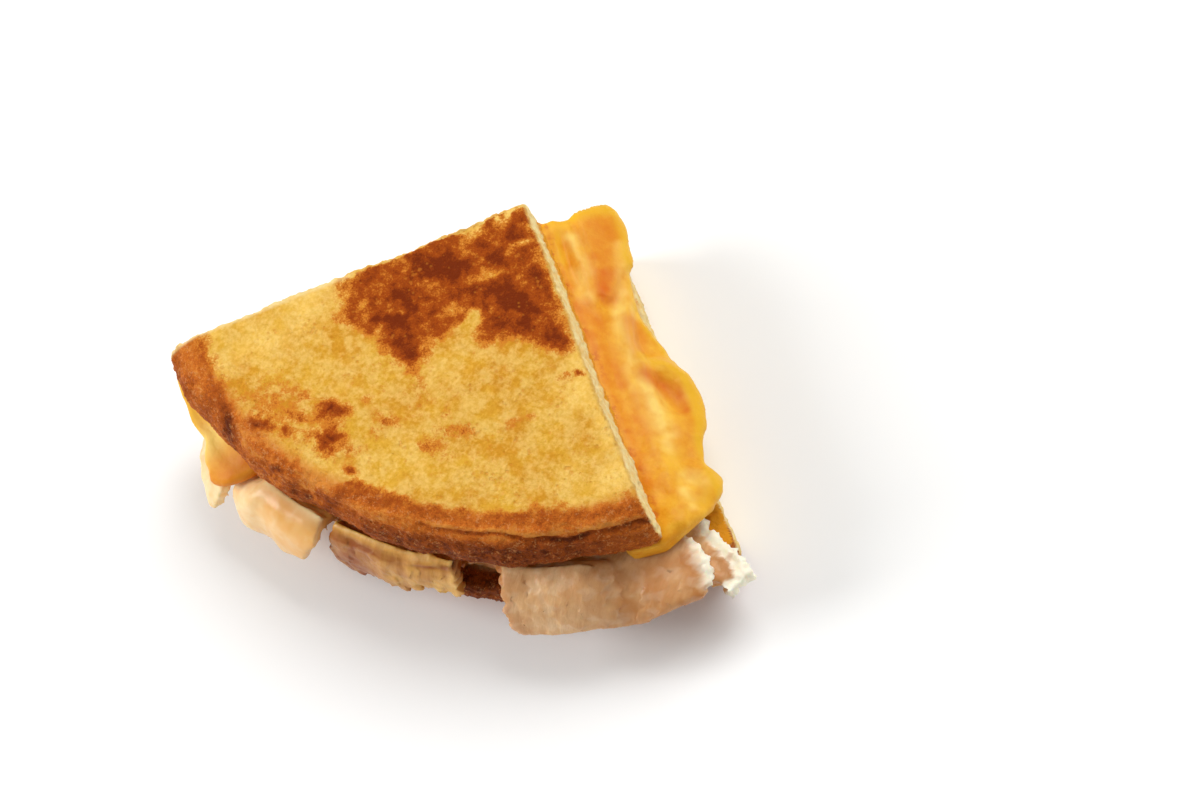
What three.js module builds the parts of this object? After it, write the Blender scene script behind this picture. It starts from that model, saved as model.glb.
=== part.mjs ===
// One quarter of a grilled turkey and cheese sandwich: two slices of white bread cut corner to corner,
// folded and torn turkey between them, and melted cheese that runs out over the right-hand cut.
// Millimetres, +Z up. The sandwich lies on its bottom slice with the crust to the front (-Y),
// the left cut facing -X +Y and the right cut facing +X +Y.
import * as THREE from 'three';

// ---- Driving dimensions ----

const halfAngle = 46;          // degrees from the middle of the quarter to each cut
const crustLeft = 74.6;        // from the tip to the crust along the left cut
const crustMiddle = 69.3;      // from the tip to the crust halfway round
const crustRight = 70.5;       // from the tip to the crust along the right cut
const bottomBulge = 6;         // how much farther out the bottom slice's crust is, halfway round
const slide = 11;              // the bottom slice has slid this far out past the right-hand cut
const sliceThickness = 12.2;
const turkeyThickness = 3.3;
const cheeseThickness = 4.6;
const gap = 0.3;               // clear space between neighbouring layers
const cornerRounding = 0.7;    // how far the crust draws in at its two corners
const cornerSpan = 4;          // degrees of crust over which it does so
const shoulder = 7.5;          // width of the crust's rounded shoulder beside the grilled face

const breadMaterial = new THREE.MeshStandardMaterial({ color: 0xd9a04a, roughness: 0.85, metalness: 0 });
const turkeyMaterial = new THREE.MeshStandardMaterial({ color: 0xe3c39c, roughness: 0.5, metalness: 0 });
const cheeseMaterial = new THREE.MeshStandardMaterial({ color: 0xf0a829, roughness: 0.35, metalness: 0 });

// ---- Layer heights, from the bottom slice up ----

const lowerTurkeyFloor = sliceThickness + gap;
const upperTurkeyFloor = lowerTurkeyFloor + turkeyThickness + gap;
const cheeseFloor = upperTurkeyFloor + turkeyThickness + gap;
const topSliceFloor = cheeseFloor + cheeseThickness + gap;

// ---- Plan geometry ----

const radians = THREE.MathUtils.degToRad;
const smooth = THREE.MathUtils.smoothstep;

// Unit direction from the tip towards the crust, at an angle from the middle of the quarter.
const towards = (angle) => new THREE.Vector2(Math.sin(radians(angle)), -Math.cos(radians(angle)));

const alongLeft = towards(-halfAngle);
const alongRight = towards(halfAngle);
const outOfLeft = new THREE.Vector2(alongLeft.y, -alongLeft.x);
const outOfRight = new THREE.Vector2(-alongRight.y, alongRight.x);
const bottomTip = new THREE.Vector2(0, 35);
const topTip = bottomTip.clone().addScaledVector(outOfRight, -slide);

// Distance from the tip to the crust at an angle, as a curve through the three lengths above.
// bulge is added to the middle one.
function crustDistance(angle, bulge = 0) {
  const turn = angle / halfAngle;
  const lean = (crustRight - crustLeft) / 2;
  const flare = (crustRight + crustLeft) / 2 - crustMiddle - bulge;
  return crustMiddle + bulge + lean * turn + flare * turn * turn;
}

// A rounded bump of the given height and half-width about a centre, and nothing elsewhere.
function bump(value, centre, halfWidth, height) {
  const away = Math.abs(value - centre) / halfWidth;
  return away < 1 ? height * (1 - away * away) ** 2 : 0;
}

// Value on a curve through [position, value] pairs with level ends.
function through(pairs, position) {
  if (position <= pairs[0][0]) return pairs[0][1];
  const next = pairs.findIndex((pair) => pair[0] > position);
  if (next < 0) return pairs[pairs.length - 1][1];
  const [before, after] = [pairs[next - 1], pairs[next]];
  return THREE.MathUtils.lerp(before[1], after[1], smooth(position, before[0], after[0]));
}

// ---- Closed bodies from rings ----

// Each ring is a closed loop of points, anticlockwise seen from above. The rings run from the middle
// of the underside out to the rim and back to the middle of the upper side, where fans close them.
function bodyFromRings(rings) {
  const count = rings[0].length;
  const points = rings.flat();
  const faces = [];
  const total = (ring) => ring.reduce((sum, point) => sum.add(point), new THREE.Vector3());
  const middle = (ring) => total(ring).divideScalar(count);
  const lowest = points.push(middle(rings[0])) - 1;
  const highest = points.push(middle(rings[rings.length - 1])) - 1;
  const lastRing = (rings.length - 1) * count;
  for (let i = 0; i < count; i += 1) {
    const next = (i + 1) % count;
    faces.push(lowest, next, i);
    faces.push(highest, lastRing + i, lastRing + next);
    for (let base = 0; base < lastRing; base += count) {
      faces.push(base + i, base + next, base + count + next);
      faces.push(base + i, base + count + next, base + count + i);
    }
  }
  const geometry = new THREE.BufferGeometry();
  const coordinates = points.flatMap((p) => p.toArray());
  geometry.setAttribute('position', new THREE.Float32BufferAttribute(coordinates, 3));
  geometry.setIndex(faces);
  geometry.computeVertexNormals();
  return geometry;
}

// ---- Bread ----

const crustSteps = 28;
const cutSteps = 7;

// The lower part of the top slice's crust draws in by this much at angles round the crust.
const undercut = [[-40, 0], [-30, 0.5], [-20, 1], [-11, 2], [0, 1.9], [14, 1.2], [46, 1]];
const undercutFade = [0.7, 0.95];     // shares of the slice's thickness between which that ends

// Outline of a slice, drawn in by one amount at the crust and another at both cuts.
// drawn is the share of the undercut that it has.
function sliceOutline(tip, crustInset, cutInset, drawn, bulge) {
  const points = [];
  const innerTip = tip.clone().addScaledVector(towards(0), cutInset / Math.sin(radians(halfAngle)));
  const widest = halfAngle - THREE.MathUtils.radToDeg(cutInset / crustMiddle);
  const crustPoint = (angle) => {
    const corner = Math.max(0, 1 - (widest - Math.abs(angle)) / cornerSpan);
    const inward = crustInset + drawn * through(undercut, angle) + cornerRounding * corner * corner;
    const distance = crustDistance(angle, bulge) - inward;
    return tip.clone().addScaledVector(towards(angle), distance);
  };
  const [left, right] = [crustPoint(-widest), crustPoint(widest)];
  for (let i = 0; i < cutSteps; i += 1) points.push(innerTip.clone().lerp(left, i / cutSteps));
  for (let i = 0; i <= crustSteps; i += 1) points.push(crustPoint(widest * (2 * i / crustSteps - 1)));
  for (let i = 1; i < cutSteps; i += 1) points.push(right.clone().lerp(innerTip, i / cutSteps));
  return points;
}

// Sides of a slice from its fresh-cut inner face (0) to its grilled face (1):
// share of the thickness, inset at the crust, inset at the cuts.
const sliceSides = [
  [0, 1.0, 0.3],
  [0.07, 0.3, 0],
  [0.36, 0, 0.2],
  [0.5, 0.5, 0.3],
  [0.58, 0.6, 0.35],
  [0.76, 0.22 * shoulder, 0.5],
  [0.9, 0.5 * shoulder, 0.7],
  [0.97, 0.76 * shoulder, 1.0],
  [1, shoulder, 1.7],
];
const faceShares = [0.82, 0.45];  // rings on each face, as shares of the way out from its middle
const faceMiddle = 0.55;          // where that middle is, as a share of the way from tip to crust
const grilledRelief = 0.35;       // depth of the hollows that the grill pressed into the upper face
const reliefWaves = [0.21, 0.17]; // radians per millimetre across and along

// A slice rises from its floor. The grilled face is on top for the upper slice, underneath for the lower.
function sliceGeometry(tip, floor, grilledUp) {
  const height = (share) => floor + sliceThickness * (grilledUp ? share : 1 - share);
  const middle = tip.clone().addScaledVector(towards(0), crustMiddle * faceMiddle);
  const bulge = grilledUp ? 0 : bottomBulge;
  const sides = sliceSides.map(([share, crustInset, cutInset]) => {
    const drawn = grilledUp ? 1 - smooth(share, ...undercutFade) : 0;
    const outline = sliceOutline(tip, crustInset, cutInset, drawn, bulge);
    return outline.map((p) => new THREE.Vector3(p.x, p.y, height(share)));
  });
  const face = (ring, share, relief) => ring.map((p) => {
    const wave = Math.sin(p.x * reliefWaves[0] + 1) * Math.cos(p.y * reliefWaves[1]);
    const x = THREE.MathUtils.lerp(middle.x, p.x, share);
    const y = THREE.MathUtils.lerp(middle.y, p.y, share);
    return new THREE.Vector3(x, y, p.z - relief * (1 + wave) / 2);
  });
  const innerFace = [face(sides[0], faceShares[1], 0), face(sides[0], faceShares[0], 0)];
  const grilled = sides[sides.length - 1];
  const relief = grilledUp ? grilledRelief : 0;
  const grilledFace = [face(grilled, faceShares[0], relief), face(grilled, faceShares[1], relief)];
  const rings = [...innerFace, ...sides, ...grilledFace];
  return bodyFromRings(grilledUp ? rings : rings.reverse());
}

// ---- Sheets: turkey and cheese ----

// A sheet lies between the slices and may fall away outside them. Each point of its edge has
//   at, out      the place where the sheet leaves the sandwich and its outward direction, in plan
//   curve        the falling curve, as distance out and height above the sheet's middle
//   reach        the share of that curve which the sheet follows
//   fall         the share of the curve's drop that it takes
//   blunt        1 for a rounded free edge, 0 for a clean cut
//   swell(along) an offset square to the sheet, for waves and folds
const flatCurve = fallingCurve([[0, 0], [10, 0]]);
const cutReach = 0.02;         // how far a plain cut edge follows its curve
const cutNose = 0.1;           // how far the end of a cut edge stands out at mid-thickness
const noseShare = 0.8;         // how round a free edge is, from square at 0 to half round at 1
const edgePoint = (at, out, extra = {}) => ({
  at, out, curve: flatCurve, reach: cutReach, fall: 1, blunt: 0, swell: () => 0, ...extra });

// A falling curve from [distance out, height] pairs.
function fallingCurve(pairs) {
  return new THREE.SplineCurve(pairs.map(([out, up]) => new THREE.Vector2(out, up)));
}

// A sheet has rings at some shares of the way from its middle to its edge, then a few down its flaps.
// rise(place) is how far it stands above its floor at a place in plan.
function sheetGeometry({ edge, middle, floor, thickness, flap, flapSteps, shares, rise = () => 0 }) {
  const level = floor + thickness / 2;
  const flat = (share, side) => edge.map((point) => {
    const place = middle.clone().lerp(point.at, share);
    return new THREE.Vector3(place.x, place.y, level + rise(place) + side * thickness / 2);
  });
  const falling = (step, side, past = 0) => edge.map((point) => {
    const along = point.reach * step / flapSteps;
    const place = point.curve.getPoint(along);
    const heading = point.curve.getTangent(along);
    heading.y *= point.fall;
    heading.normalize();
    const fade = Math.min(1, step / 2);
    const half = THREE.MathUtils.lerp(thickness, flap, point.blunt * fade) / 2;
    const across = side * half + point.swell(along) * fade;
    const forward = past * THREE.MathUtils.lerp(cutNose, half, point.blunt);
    const outward = place.x - heading.y * across + heading.x * forward;
    const upward = place.y * point.fall + heading.x * across + heading.y * forward;
    const plan = point.at.clone().addScaledVector(point.out, outward);
    return new THREE.Vector3(plan.x, plan.y, level + rise(point.at) + upward);
  });
  const steps = Array.from({ length: flapSteps }, (_, i) => i + 1);
  return bodyFromRings([
    ...shares.map((share) => flat(share, -1)),
    ...steps.map((step) => falling(step, -1)),
    falling(flapSteps, 0, noseShare),
    ...steps.map((step) => falling(step, 1)).reverse(),
    ...shares.map((share) => flat(share, 1)).reverse(),
  ]);
}

const overhang = fallingCurve([[0, 0], [2.6, -0.5], [5.2, -2.4], [7.3, -6], [8.6, -10.5], [9.2, -14.5]]);
const hanging = fallingCurve([[0, 0], [1.3, -0.6], [2.4, -2.8], [3, -6.4], [3.2, -10.4], [3, -14]]);
const tongue = fallingCurve([[0, 0], [3.4, -0.3], [6.6, -2.2], [9, -5.6], [10.6, -10], [11, -14]]);
const fold = fallingCurve([[0, 0], [2.6, -0.4], [4.8, -2.6], [6, -6.6], [6.5, -11], [6.6, -15]]);
const drape = fallingCurve([
  [0, 0], [3.4, -0.7], [6.6, -2.8], [9.4, -4.6], [11.8, -6.4], [13.4, -9.4], [13.8, -13]]);

// Points along a straight side of a sheet, both ends left out.
function sideLine(from, to, count, out, extra) {
  return Array.from({ length: count }, (_, i) => {
    const share = (i + 1) / (count + 1);
    return edgePoint(from.clone().lerp(to, share), out, extra?.(share));
  });
}

// Points round the crust side of a sheet. The inset is measured inwards from the top slice's crust.
function crustSide(start, end, count, inset, extra) {
  return Array.from({ length: count + 1 }, (_, i) => {
    const angle = THREE.MathUtils.lerp(start, end, i / count);
    const at = topTip.clone().addScaledVector(towards(angle), crustDistance(angle) - inset(angle));
    return edgePoint(at, towards(angle), extra(angle));
  });
}

// ---- Turkey ----

// The lower slice of turkey runs under everything. Its torn end sticks out past the right-hand corner:
// distances out of the top slice's right cut and along it from the tip.
const tornAngle = 50.9;
const tornEnd = [
  [6.9, 79.7], [9.6, 78.6], [12.7, 77.3], [11.5, 76.4], [12.4, 75.2], [11.3, 73.3],
  [11.1, 71.5], [9.3, 70.4], [9.2, 67.6], [7.6, 66.2], [7.8, 63.5], [6.8, 61],
  [5.4, 58.5], [4.4, 50], [4, 26], [3.6, 0.2]];
const lowerTurkeyStart = slide - 4;   // from the bottom slice's tip, along its left cut
const lowerTurkeyMiddle = [6, 40];    // angle and distance from the top slice's tip

function lowerTurkeyGeometry() {
  const inset = (angle) => through([[-46, 1.5], [-30, 6], [30, 5], [42, -0.6]], angle);
  const tornReach = (angle) => through([[34, 0.04], [43, 0.2], [50.3, 0.28], [tornAngle, 0.48]], angle);
  const falling = (angle) => ({
    curve: overhang,
    reach: tornReach(angle),
    fall: through([[34, 0.4], [50, 0.15]], angle),
    blunt: smooth(angle, 34, 42),
  });
  const hidden = crustSide(-halfAngle, 32, 12, inset, falling);
  const shown = crustSide(34, tornAngle, 9, inset, falling);
  const torn = tornEnd.map(([out, along]) => edgePoint(
    topTip.clone().addScaledVector(outOfRight, out).addScaledVector(alongRight, along),
    outOfRight, { blunt: 0.5 }));
  const start = bottomTip.clone().addScaledVector(alongLeft, lowerTurkeyStart);
  const left = sideLine(start, hidden[0].at, 5, outOfLeft);
  return sheetGeometry({
    edge: [edgePoint(start, outOfLeft), ...left, ...hidden, ...shown, ...torn],
    middle: topTip.clone().addScaledVector(towards(lowerTurkeyMiddle[0]), lowerTurkeyMiddle[1]),
    floor: lowerTurkeyFloor,
    thickness: turkeyThickness,
    flap: turkeyThickness * 0.8,
    flapSteps: 3,
    shares: [0.5, 1],
  });
}

// Where no cheese covers the upper turkey, it rises to the top slice before it falls over the edge.
const riseToBread = cheeseThickness * 0.88;
const riseWidth = 4;
const riseShares = [0.35, 0.7, 1.05];   // places along the rise that get an edge point each
const upperTurkeyMiddle = 0.6;          // share of the way from the tip to the crust

function upperTurkeyRise(place) {
  const arm = place.clone().sub(topTip);
  const angle = THREE.MathUtils.radToDeg(Math.atan2(arm.x, -arm.y));
  const bare = through([[-27, 0], [-22, 1], [32, 1], [40, 0]], angle);
  const edge = crustDistance(angle) - 1;
  return riseToBread * bare * smooth(arm.length(), edge - riseWidth, edge);
}

// The upper turkey is four slices side by side, each running in from the crust towards the tip.
function upperTurkeyGeometry(piece) {
  const crust = crustSide(piece.from, piece.to, piece.steps, piece.inset, (angle) => ({
    curve: piece.curve,
    reach: piece.reach(angle),
    fall: piece.fall?.(angle) ?? 1,
    blunt: piece.blunt?.(angle) ?? 1,
    swell: (along) => piece.swell(angle, along),
  }));
  const along = towards((piece.from + piece.to) / 2);
  const tip = topTip.clone().addScaledVector(along, piece.start);
  const [first, last] = [crust[0].at, crust[crust.length - 1].at];
  const outLeft = towards(piece.from - 90);
  const outRight = towards(piece.to + 90);
  const rising = (corner, out) => riseShares.map((share) => (
    edgePoint(corner.clone().lerp(tip, share * riseWidth / corner.distanceTo(tip)), out)));
  const risingLeft = rising(first, outLeft).reverse();
  let rightEdge = rising(last, outRight);
  if (piece.elbow) {
    const turn = topTip.clone().addScaledVector(towards(piece.elbow[0]), piece.elbow[1]);
    rightEdge = [...sideLine(last, turn, 3, outRight), edgePoint(turn, outRight)];
  }
  return sheetGeometry({
    edge: [
      edgePoint(tip, along.clone().negate()),
      ...sideLine(tip, risingLeft[0].at, 3, outLeft),
      ...risingLeft,
      ...crust,
      ...rightEdge,
      ...sideLine(rightEdge[rightEdge.length - 1].at, tip, 3, outRight),
    ],
    middle: topTip.clone().addScaledVector(along, crustMiddle * upperTurkeyMiddle),
    floor: upperTurkeyFloor,
    thickness: turkeyThickness,
    flap: piece.flap,
    flapSteps: 5,
    shares: [0.82, 1],
    rise: upperTurkeyRise,
  });
}

// Each slice has its span of crust in degrees, how far from the tip it starts, its points along the
// crust, the thickness of its flap, and how that flap falls. An elbow is the angle and distance at
// which the right edge turns outwards.
const upperTurkey = {
  turkey_edge: {
    from: -halfAngle, to: -29.1, start: 1, steps: 14, flap: 2, curve: tongue,
    inset: (angle) => through([[-42, 1.2], [-36, 1.6], [-31, 1]], angle),
    reach: (angle) => through(
      [[-46, 0.03], [-41, 0.06], [-37.5, 0.14], [-35, 0.36], [-33, 0.52], [-30.6, 0.68], [-29, 0.6]],
      angle),
    swell: (angle) => bump(angle, -36, 3, 0.5),
  },
  turkey_fold: {
    from: -28.3, to: -10.8, start: 9, steps: 16, flap: 2.5, curve: fold,
    inset: () => 1.6,
    blunt: (angle) => through([[-28, 0.4], [-20, 0.5], [-14, 1.3], [-10.8, 2.2]], angle),
    reach: (angle) => through(
      [[-28.6, 0.5], [-26.5, 0.72], [-19, 0.86], [-14, 0.7], [-10.8, 0.35]], angle),
    swell: (angle, along) => (
      bump(angle, -25, 3.6, 1.2) * smooth(along, 0, 0.3) - bump(angle, -20.5, 2.4, 0.8) * along),
  },
  turkey_frill: {
    from: -9.9, to: 12.2, start: 9, steps: 22, flap: 2.4, curve: hanging,
    inset: () => 2.4,
    reach: (angle) => (through([[-10, 0.92], [-5, 0.88], [0, 0.72], [10, 0.6]], angle)
      + 0.05 * Math.sin(angle * 0.7)),
    swell: (angle, along) => 0.5 * Math.sin(angle * 0.62 + 1) * Math.sin(angle * 0.23 + 2) * along,
  },
  turkey_slab: {
    from: 12.9, to: 50.3, start: 6, steps: 28, flap: 3, curve: overhang, elbow: [48.2, 66],
    inset: (angle) => through([[17, 5], [20.5, 1.9], [40, 1.2], [47, 0.6]], angle),
    reach: (angle) => through(
      [[19, 0.03], [21.5, 0.72], [34, 0.68], [42, 0.66], [47, 0.62], [50.3, 0.4]], angle),
    fall: (angle) => through([[34, 1], [44, 0.3]], angle),
    swell: (angle, along) => 0.4 * Math.sin(angle * 0.5) * along,
  },
};

// ---- Cheese ----

// The cheese lies under the whole top slice, peeps out at the left corner, hangs in a short tongue
// at the lower left, and runs down over the right-hand cut in broad lobes.
const cheeseEnd = 66.5;        // distance from the tip at which the drape stops, short of the corner
const cheeseMiddle = 38;       // from the tip, where the cheese's rings are centred
const cutOverlap = 0.4;        // how far inside the cut the drape starts
const fanRadius = 0.4;         // rounding of the cheese where its edge turns a corner
const tipLean = 12;            // degrees by which the drape leans past the tip
const tongueBlunt = 1.4;       // the tongue is thinner than the drape
const leftReach = 0.1;         // share of the falling curve that has run out over the left cut

// Round the crust: angle, inset, and angle, share of the falling curve
const cheeseInset = [
  [-46, -0.2], [-38, 0.2], [-35, 0.8], [-27.5, 1.4], [-24, 8.2], [37, 8.2], [41, 1.6], [46, 1.4]];
const tongueReach = [
  [-46, 0.14], [-38, 0.12], [-35, 0.1], [-31.5, 0.3], [-29.5, 0.4], [-26, 0.26], [-24, cutReach]];

// Along the drape: distance from the tip, share of the falling curve
const drapeReach = [
  [0, 0.6], [1.5, 0.68], [4, 0.71], [9, 0.63], [13, 0.55], [18, 0.52], [22, 0.54], [26, 0.6],
  [30, 0.68], [34, 0.74], [40, 0.78], [46, 0.72], [51, 0.6], [55, 0.56], [59, 0.64], [62, 0.58],
  [64.5, 0.45], [66.5, 0.3]];
const drapeSteps = 34;

// The upper lobe stands out from the rest of the drape, and so does the lip halfway down.
function lobeSwell(distance, along) {
  const lobe = bump(distance, 5, 13, 1.1) * smooth(along, 0.2, 0.4);
  const lip = bump(distance, 40, 9, 0.7) * smooth(along, 0.45, 0.6);
  return lobe + lip;
}

function cheeseGeometry() {
  const inset = (angle) => through(cheeseInset, angle);
  const falling = (angle) => ({
    curve: tongue,
    reach: through(tongueReach, angle),
    fall: through([[-46, 0.4], [-36, 1]], angle),
    blunt: tongueBlunt * smooth(-angle, 24, 27),
  });
  const tongueSide = crustSide(-halfAngle, -23, 15, inset, falling);
  const hiddenSide = crustSide(-20, 36, 7, inset, falling);
  const rightCorner = crustSide(38, halfAngle, 4, inset, falling);
  const drapeEdge = Array.from({ length: drapeSteps }, (_, i) => {
    const distance = cheeseEnd * (1 - (i + 0.5) / drapeSteps);
    const lean = radians(tipLean * (1 - smooth(distance, 0, 12)));
    const at = topTip.clone().addScaledVector(alongRight, distance);
    at.addScaledVector(outOfRight, -cutOverlap);
    const out = outOfRight.clone().multiplyScalar(Math.cos(lean));
    out.addScaledVector(alongRight, -Math.sin(lean));
    return edgePoint(at, out, {
      curve: drape,
      reach: through(drapeReach, distance),
      blunt: 1,
      swell: (along) => bump(distance, cheeseEnd, 26, 2) + lobeSwell(distance, along),
    });
  });
  const corner = tongueSide[0].at;
  const left = sideLine(topTip, corner, 7, outOfLeft, () => ({
    curve: hanging, reach: leftReach, blunt: 0.9 }));
  const fan = (at, before, after, reaches, extra) => reaches.map((reach, i) => {
    const out = before.clone().lerp(after, (i + 1) / (reaches.length + 1)).normalize();
    return edgePoint(at.clone().addScaledVector(out, fanRadius), out, { reach, blunt: 0.4, ...extra });
  });
  const lastOut = drapeEdge[drapeSteps - 1].out;
  const tipFan = fan(topTip, lastOut, outOfLeft, [0.1, 0.03, 0.02], { curve: drape });
  const cornerFan = fan(corner, outOfLeft, alongLeft, [0.1, 0.1]);
  return sheetGeometry({
    edge: [...tipFan, ...left, ...cornerFan, ...tongueSide, ...hiddenSide, ...rightCorner, ...drapeEdge],
    middle: topTip.clone().addScaledVector(towards(0), cheeseMiddle),
    floor: cheeseFloor,
    thickness: cheeseThickness,
    flap: 3,
    flapSteps: 6,
    shares: [0.5, 1],
  });
}

// ---- Assembly ----

const sandwich = new THREE.Group();

function add(name, geometry, material) {
  const mesh = new THREE.Mesh(geometry, material);
  mesh.name = name;
  sandwich.add(mesh);
}

add('bread_bottom', sliceGeometry(bottomTip, 0, false), breadMaterial);
add('turkey_lower', lowerTurkeyGeometry(), turkeyMaterial);
for (const [name, piece] of Object.entries(upperTurkey)) {
  add(name, upperTurkeyGeometry(piece), turkeyMaterial);
}
add('cheese', cheeseGeometry(), cheeseMaterial);
add('bread_top', sliceGeometry(topTip, topSliceFloor, true), breadMaterial);

// The origin is under the middle of the whole, on the surface it lies on.
const box = new THREE.Box3().setFromObject(sandwich);
const centre = box.getCenter(new THREE.Vector3());
for (const mesh of sandwich.children) mesh.geometry.translate(-centre.x, -centre.y, -box.min.z);

export default sandwich;
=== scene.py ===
import math

import bpy
import numpy as np
from mathutils import Matrix, Vector, noise


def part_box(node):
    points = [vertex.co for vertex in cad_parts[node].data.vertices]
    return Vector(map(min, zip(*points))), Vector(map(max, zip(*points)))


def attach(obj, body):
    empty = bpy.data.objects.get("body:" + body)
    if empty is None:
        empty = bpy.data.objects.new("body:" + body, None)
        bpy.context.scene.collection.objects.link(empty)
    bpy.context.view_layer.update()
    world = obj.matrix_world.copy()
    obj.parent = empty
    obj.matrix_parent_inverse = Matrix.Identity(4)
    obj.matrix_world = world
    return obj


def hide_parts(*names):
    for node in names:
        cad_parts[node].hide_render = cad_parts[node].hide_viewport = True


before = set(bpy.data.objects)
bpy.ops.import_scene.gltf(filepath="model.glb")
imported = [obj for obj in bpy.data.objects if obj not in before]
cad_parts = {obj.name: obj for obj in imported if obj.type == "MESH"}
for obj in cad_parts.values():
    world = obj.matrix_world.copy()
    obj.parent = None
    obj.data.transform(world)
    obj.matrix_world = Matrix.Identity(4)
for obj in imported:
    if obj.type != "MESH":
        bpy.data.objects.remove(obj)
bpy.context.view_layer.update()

mm = 0.001   # shapes are worked out in millimetres and scaled as each mesh is made

# The quarter in plan: the tip points to +Y, the left cut faces -X +Y, the right cut +X +Y.
plan = {
    "halfAngle": 46,        # degrees from the middle of the quarter to each cut
    "crustLeft": 74.6,      # tip to crust along the left cut
    "crustMiddle": 69.3,
    "crustRight": 70.5,
    "cornerRounding": 0.7,
    "cornerSpan": 4,        # degrees of crust over which the corners draw in
}


def smooth(x, low, high):
    share = np.clip((x - low) / (high - low), 0, 1)
    return share * share * (3 - 2 * share)


def bump(x, centre, halfWidth):
    away = np.clip(abs(x - centre) / halfWidth, 0, 1)
    return (1 - away * away) ** 2


# value at x on a curve through (place, value) pairs, level at each pair
def through(pairs, x):
    places, values = np.array(pairs, float).T
    x = np.asarray(x, float)
    i = np.clip(np.searchsorted(places, x, side="right") - 1, 0, len(places) - 2)
    return values[i] + (values[i + 1] - values[i]) * smooth(x, places[i], places[i + 1])


# point and direction at a share of the way along a Catmull-Rom curve through the given points
def alongCurve(points, share):
    points = np.array(points, float)
    place = np.clip(share, 0, 1) * (len(points) - 1)
    i = np.minimum(place.astype(int), len(points) - 2)
    t = (place - i)[..., None]
    before, start = points[np.maximum(i - 1, 0)], points[i]
    end, after = points[i + 1], points[np.minimum(i + 2, len(points) - 1)]
    v0, v1 = (end - before) / 2, (after - start) / 2
    a, b = 2 * start - 2 * end + v0 + v1, -3 * start + 3 * end - 2 * v0 - v1
    point = a * t ** 3 + b * t ** 2 + v0 * t + start
    direction = 3 * a * t ** 2 + 2 * b * t + v0
    return point, direction / np.linalg.norm(direction, axis=-1, keepdims=True)


def heading(angle):
    turn = np.radians(angle)
    return np.stack([np.sin(turn), -np.cos(turn)], -1)


# bulge is added to the crust's distance halfway round
def crustDistance(angle, bulge=0):
    turn = angle / plan["halfAngle"]
    lean = (plan["crustRight"] - plan["crustLeft"]) / 2
    flare = (plan["crustRight"] + plan["crustLeft"]) / 2 - plan["crustMiddle"] - bulge
    return plan["crustMiddle"] + bulge + lean * turn + flare * turn * turn


alongLeft, alongRight = heading(-plan["halfAngle"]), heading(plan["halfAngle"])
outOfLeft = np.array([alongLeft[1], -alongLeft[0]])
outOfRight = np.array([-alongRight[1], alongRight[0]])


# the tip of a slice is the farthest point of its CAD solid to +Y
def tipOf(node):
    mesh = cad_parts[node].data
    points = np.empty(len(mesh.vertices) * 3)
    mesh.vertices.foreach_get("co", points)
    points = points.reshape(-1, 3) / mm
    return points[points[:, 1].argmax(), :2]


topTip, bottomTip = tipOf("bread_top"), tipOf("bread_bottom")


# place of each point about a slice's tip: angle, distance, and how far inside the crust and the cuts
def placesIn(points, tip, bulge=0):
    arm = points[:, :2] - tip
    angle = np.degrees(np.arctan2(arm[:, 0], -arm[:, 1]))
    distance = np.hypot(arm[:, 0], arm[:, 1])
    return {
        "arm": arm, "angle": angle, "distance": distance,
        "inCrust": crustDistance(np.clip(angle, -60, 60), bulge) - distance,
        "inLeft": -(arm @ outOfLeft), "inRight": -(arm @ outOfRight),
    }


# fractal noise of about -1 to 1, with features of a size in mm (one number, or one for each axis)
def roughness(points, size, octaves=3, seed=0):
    scaled = (points / np.array(size, float) + np.array([17.3, 31.7, 11.9]) * (seed + 1)).tolist()
    return 1.6 * np.array([noise.fractal(p, 1.0, 2.0, octaves) for p in scaled])


# distance to the nearest of scattered points, 0 at a point and about 0.5 between them
def cells(points, size, seed=0):
    scaled = (points / np.array(size, float) + np.array([5.1, 23.9, 41.3]) * (seed + 1)).tolist()
    return np.array([noise.voronoi(p)[0][0] for p in scaled])


# Mesh work: rings of points are joined into a closed skin, made even by a voxel remesh, then shaped.
def skinFromRings(rings):
    rings = np.array(rings)
    steps, count = rings.shape[:2]
    points = np.concatenate([rings.reshape(-1, 3), [rings[0].mean(0), rings[-1].mean(0)]])
    lowest, highest = len(points) - 2, len(points) - 1
    i = np.arange(count)
    following = (i + 1) % count
    faces = []
    for base in range(0, (steps - 1) * count, count):
        quads = np.stack([base + i, base + following, base + count + following, base + count + i], 1)
        faces += quads.tolist()
    last = (steps - 1) * count
    faces += np.stack([np.full(count, lowest), following, i], 1).tolist()
    faces += np.stack([np.full(count, highest), last + i, last + following], 1).tolist()
    return points, faces


def addToScene(name, data):
    obj = bpy.data.objects.new(name, data)
    bpy.context.scene.collection.objects.link(obj)
    return obj


def objectFrom(name, skin):
    points, faces = skin
    mesh = bpy.data.meshes.new(name)
    mesh.from_pydata((points * mm).tolist(), [], faces)
    return addToScene(name, mesh)


def applyModifiers(obj):
    depsgraph = bpy.context.evaluated_depsgraph_get()
    mesh = bpy.data.meshes.new_from_object(obj.evaluated_get(depsgraph))
    old, obj.data = obj.data, mesh
    obj.modifiers.clear()
    bpy.data.meshes.remove(old)
    mesh.name = obj.name


def makeEven(obj, voxel, passes):
    remesh = obj.modifiers.new("even", "REMESH")
    remesh.mode = "VOXEL"
    remesh.voxel_size = voxel * mm
    soften(obj, passes)


def soften(obj, passes):
    relax = obj.modifiers.new("soften", "SMOOTH")
    relax.factor = 0.5
    relax.iterations = passes
    applyModifiers(obj)


def pointsOf(obj):
    points = np.empty(len(obj.data.vertices) * 3)
    obj.data.vertices.foreach_get("co", points)
    return points.reshape(-1, 3) / mm


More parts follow.
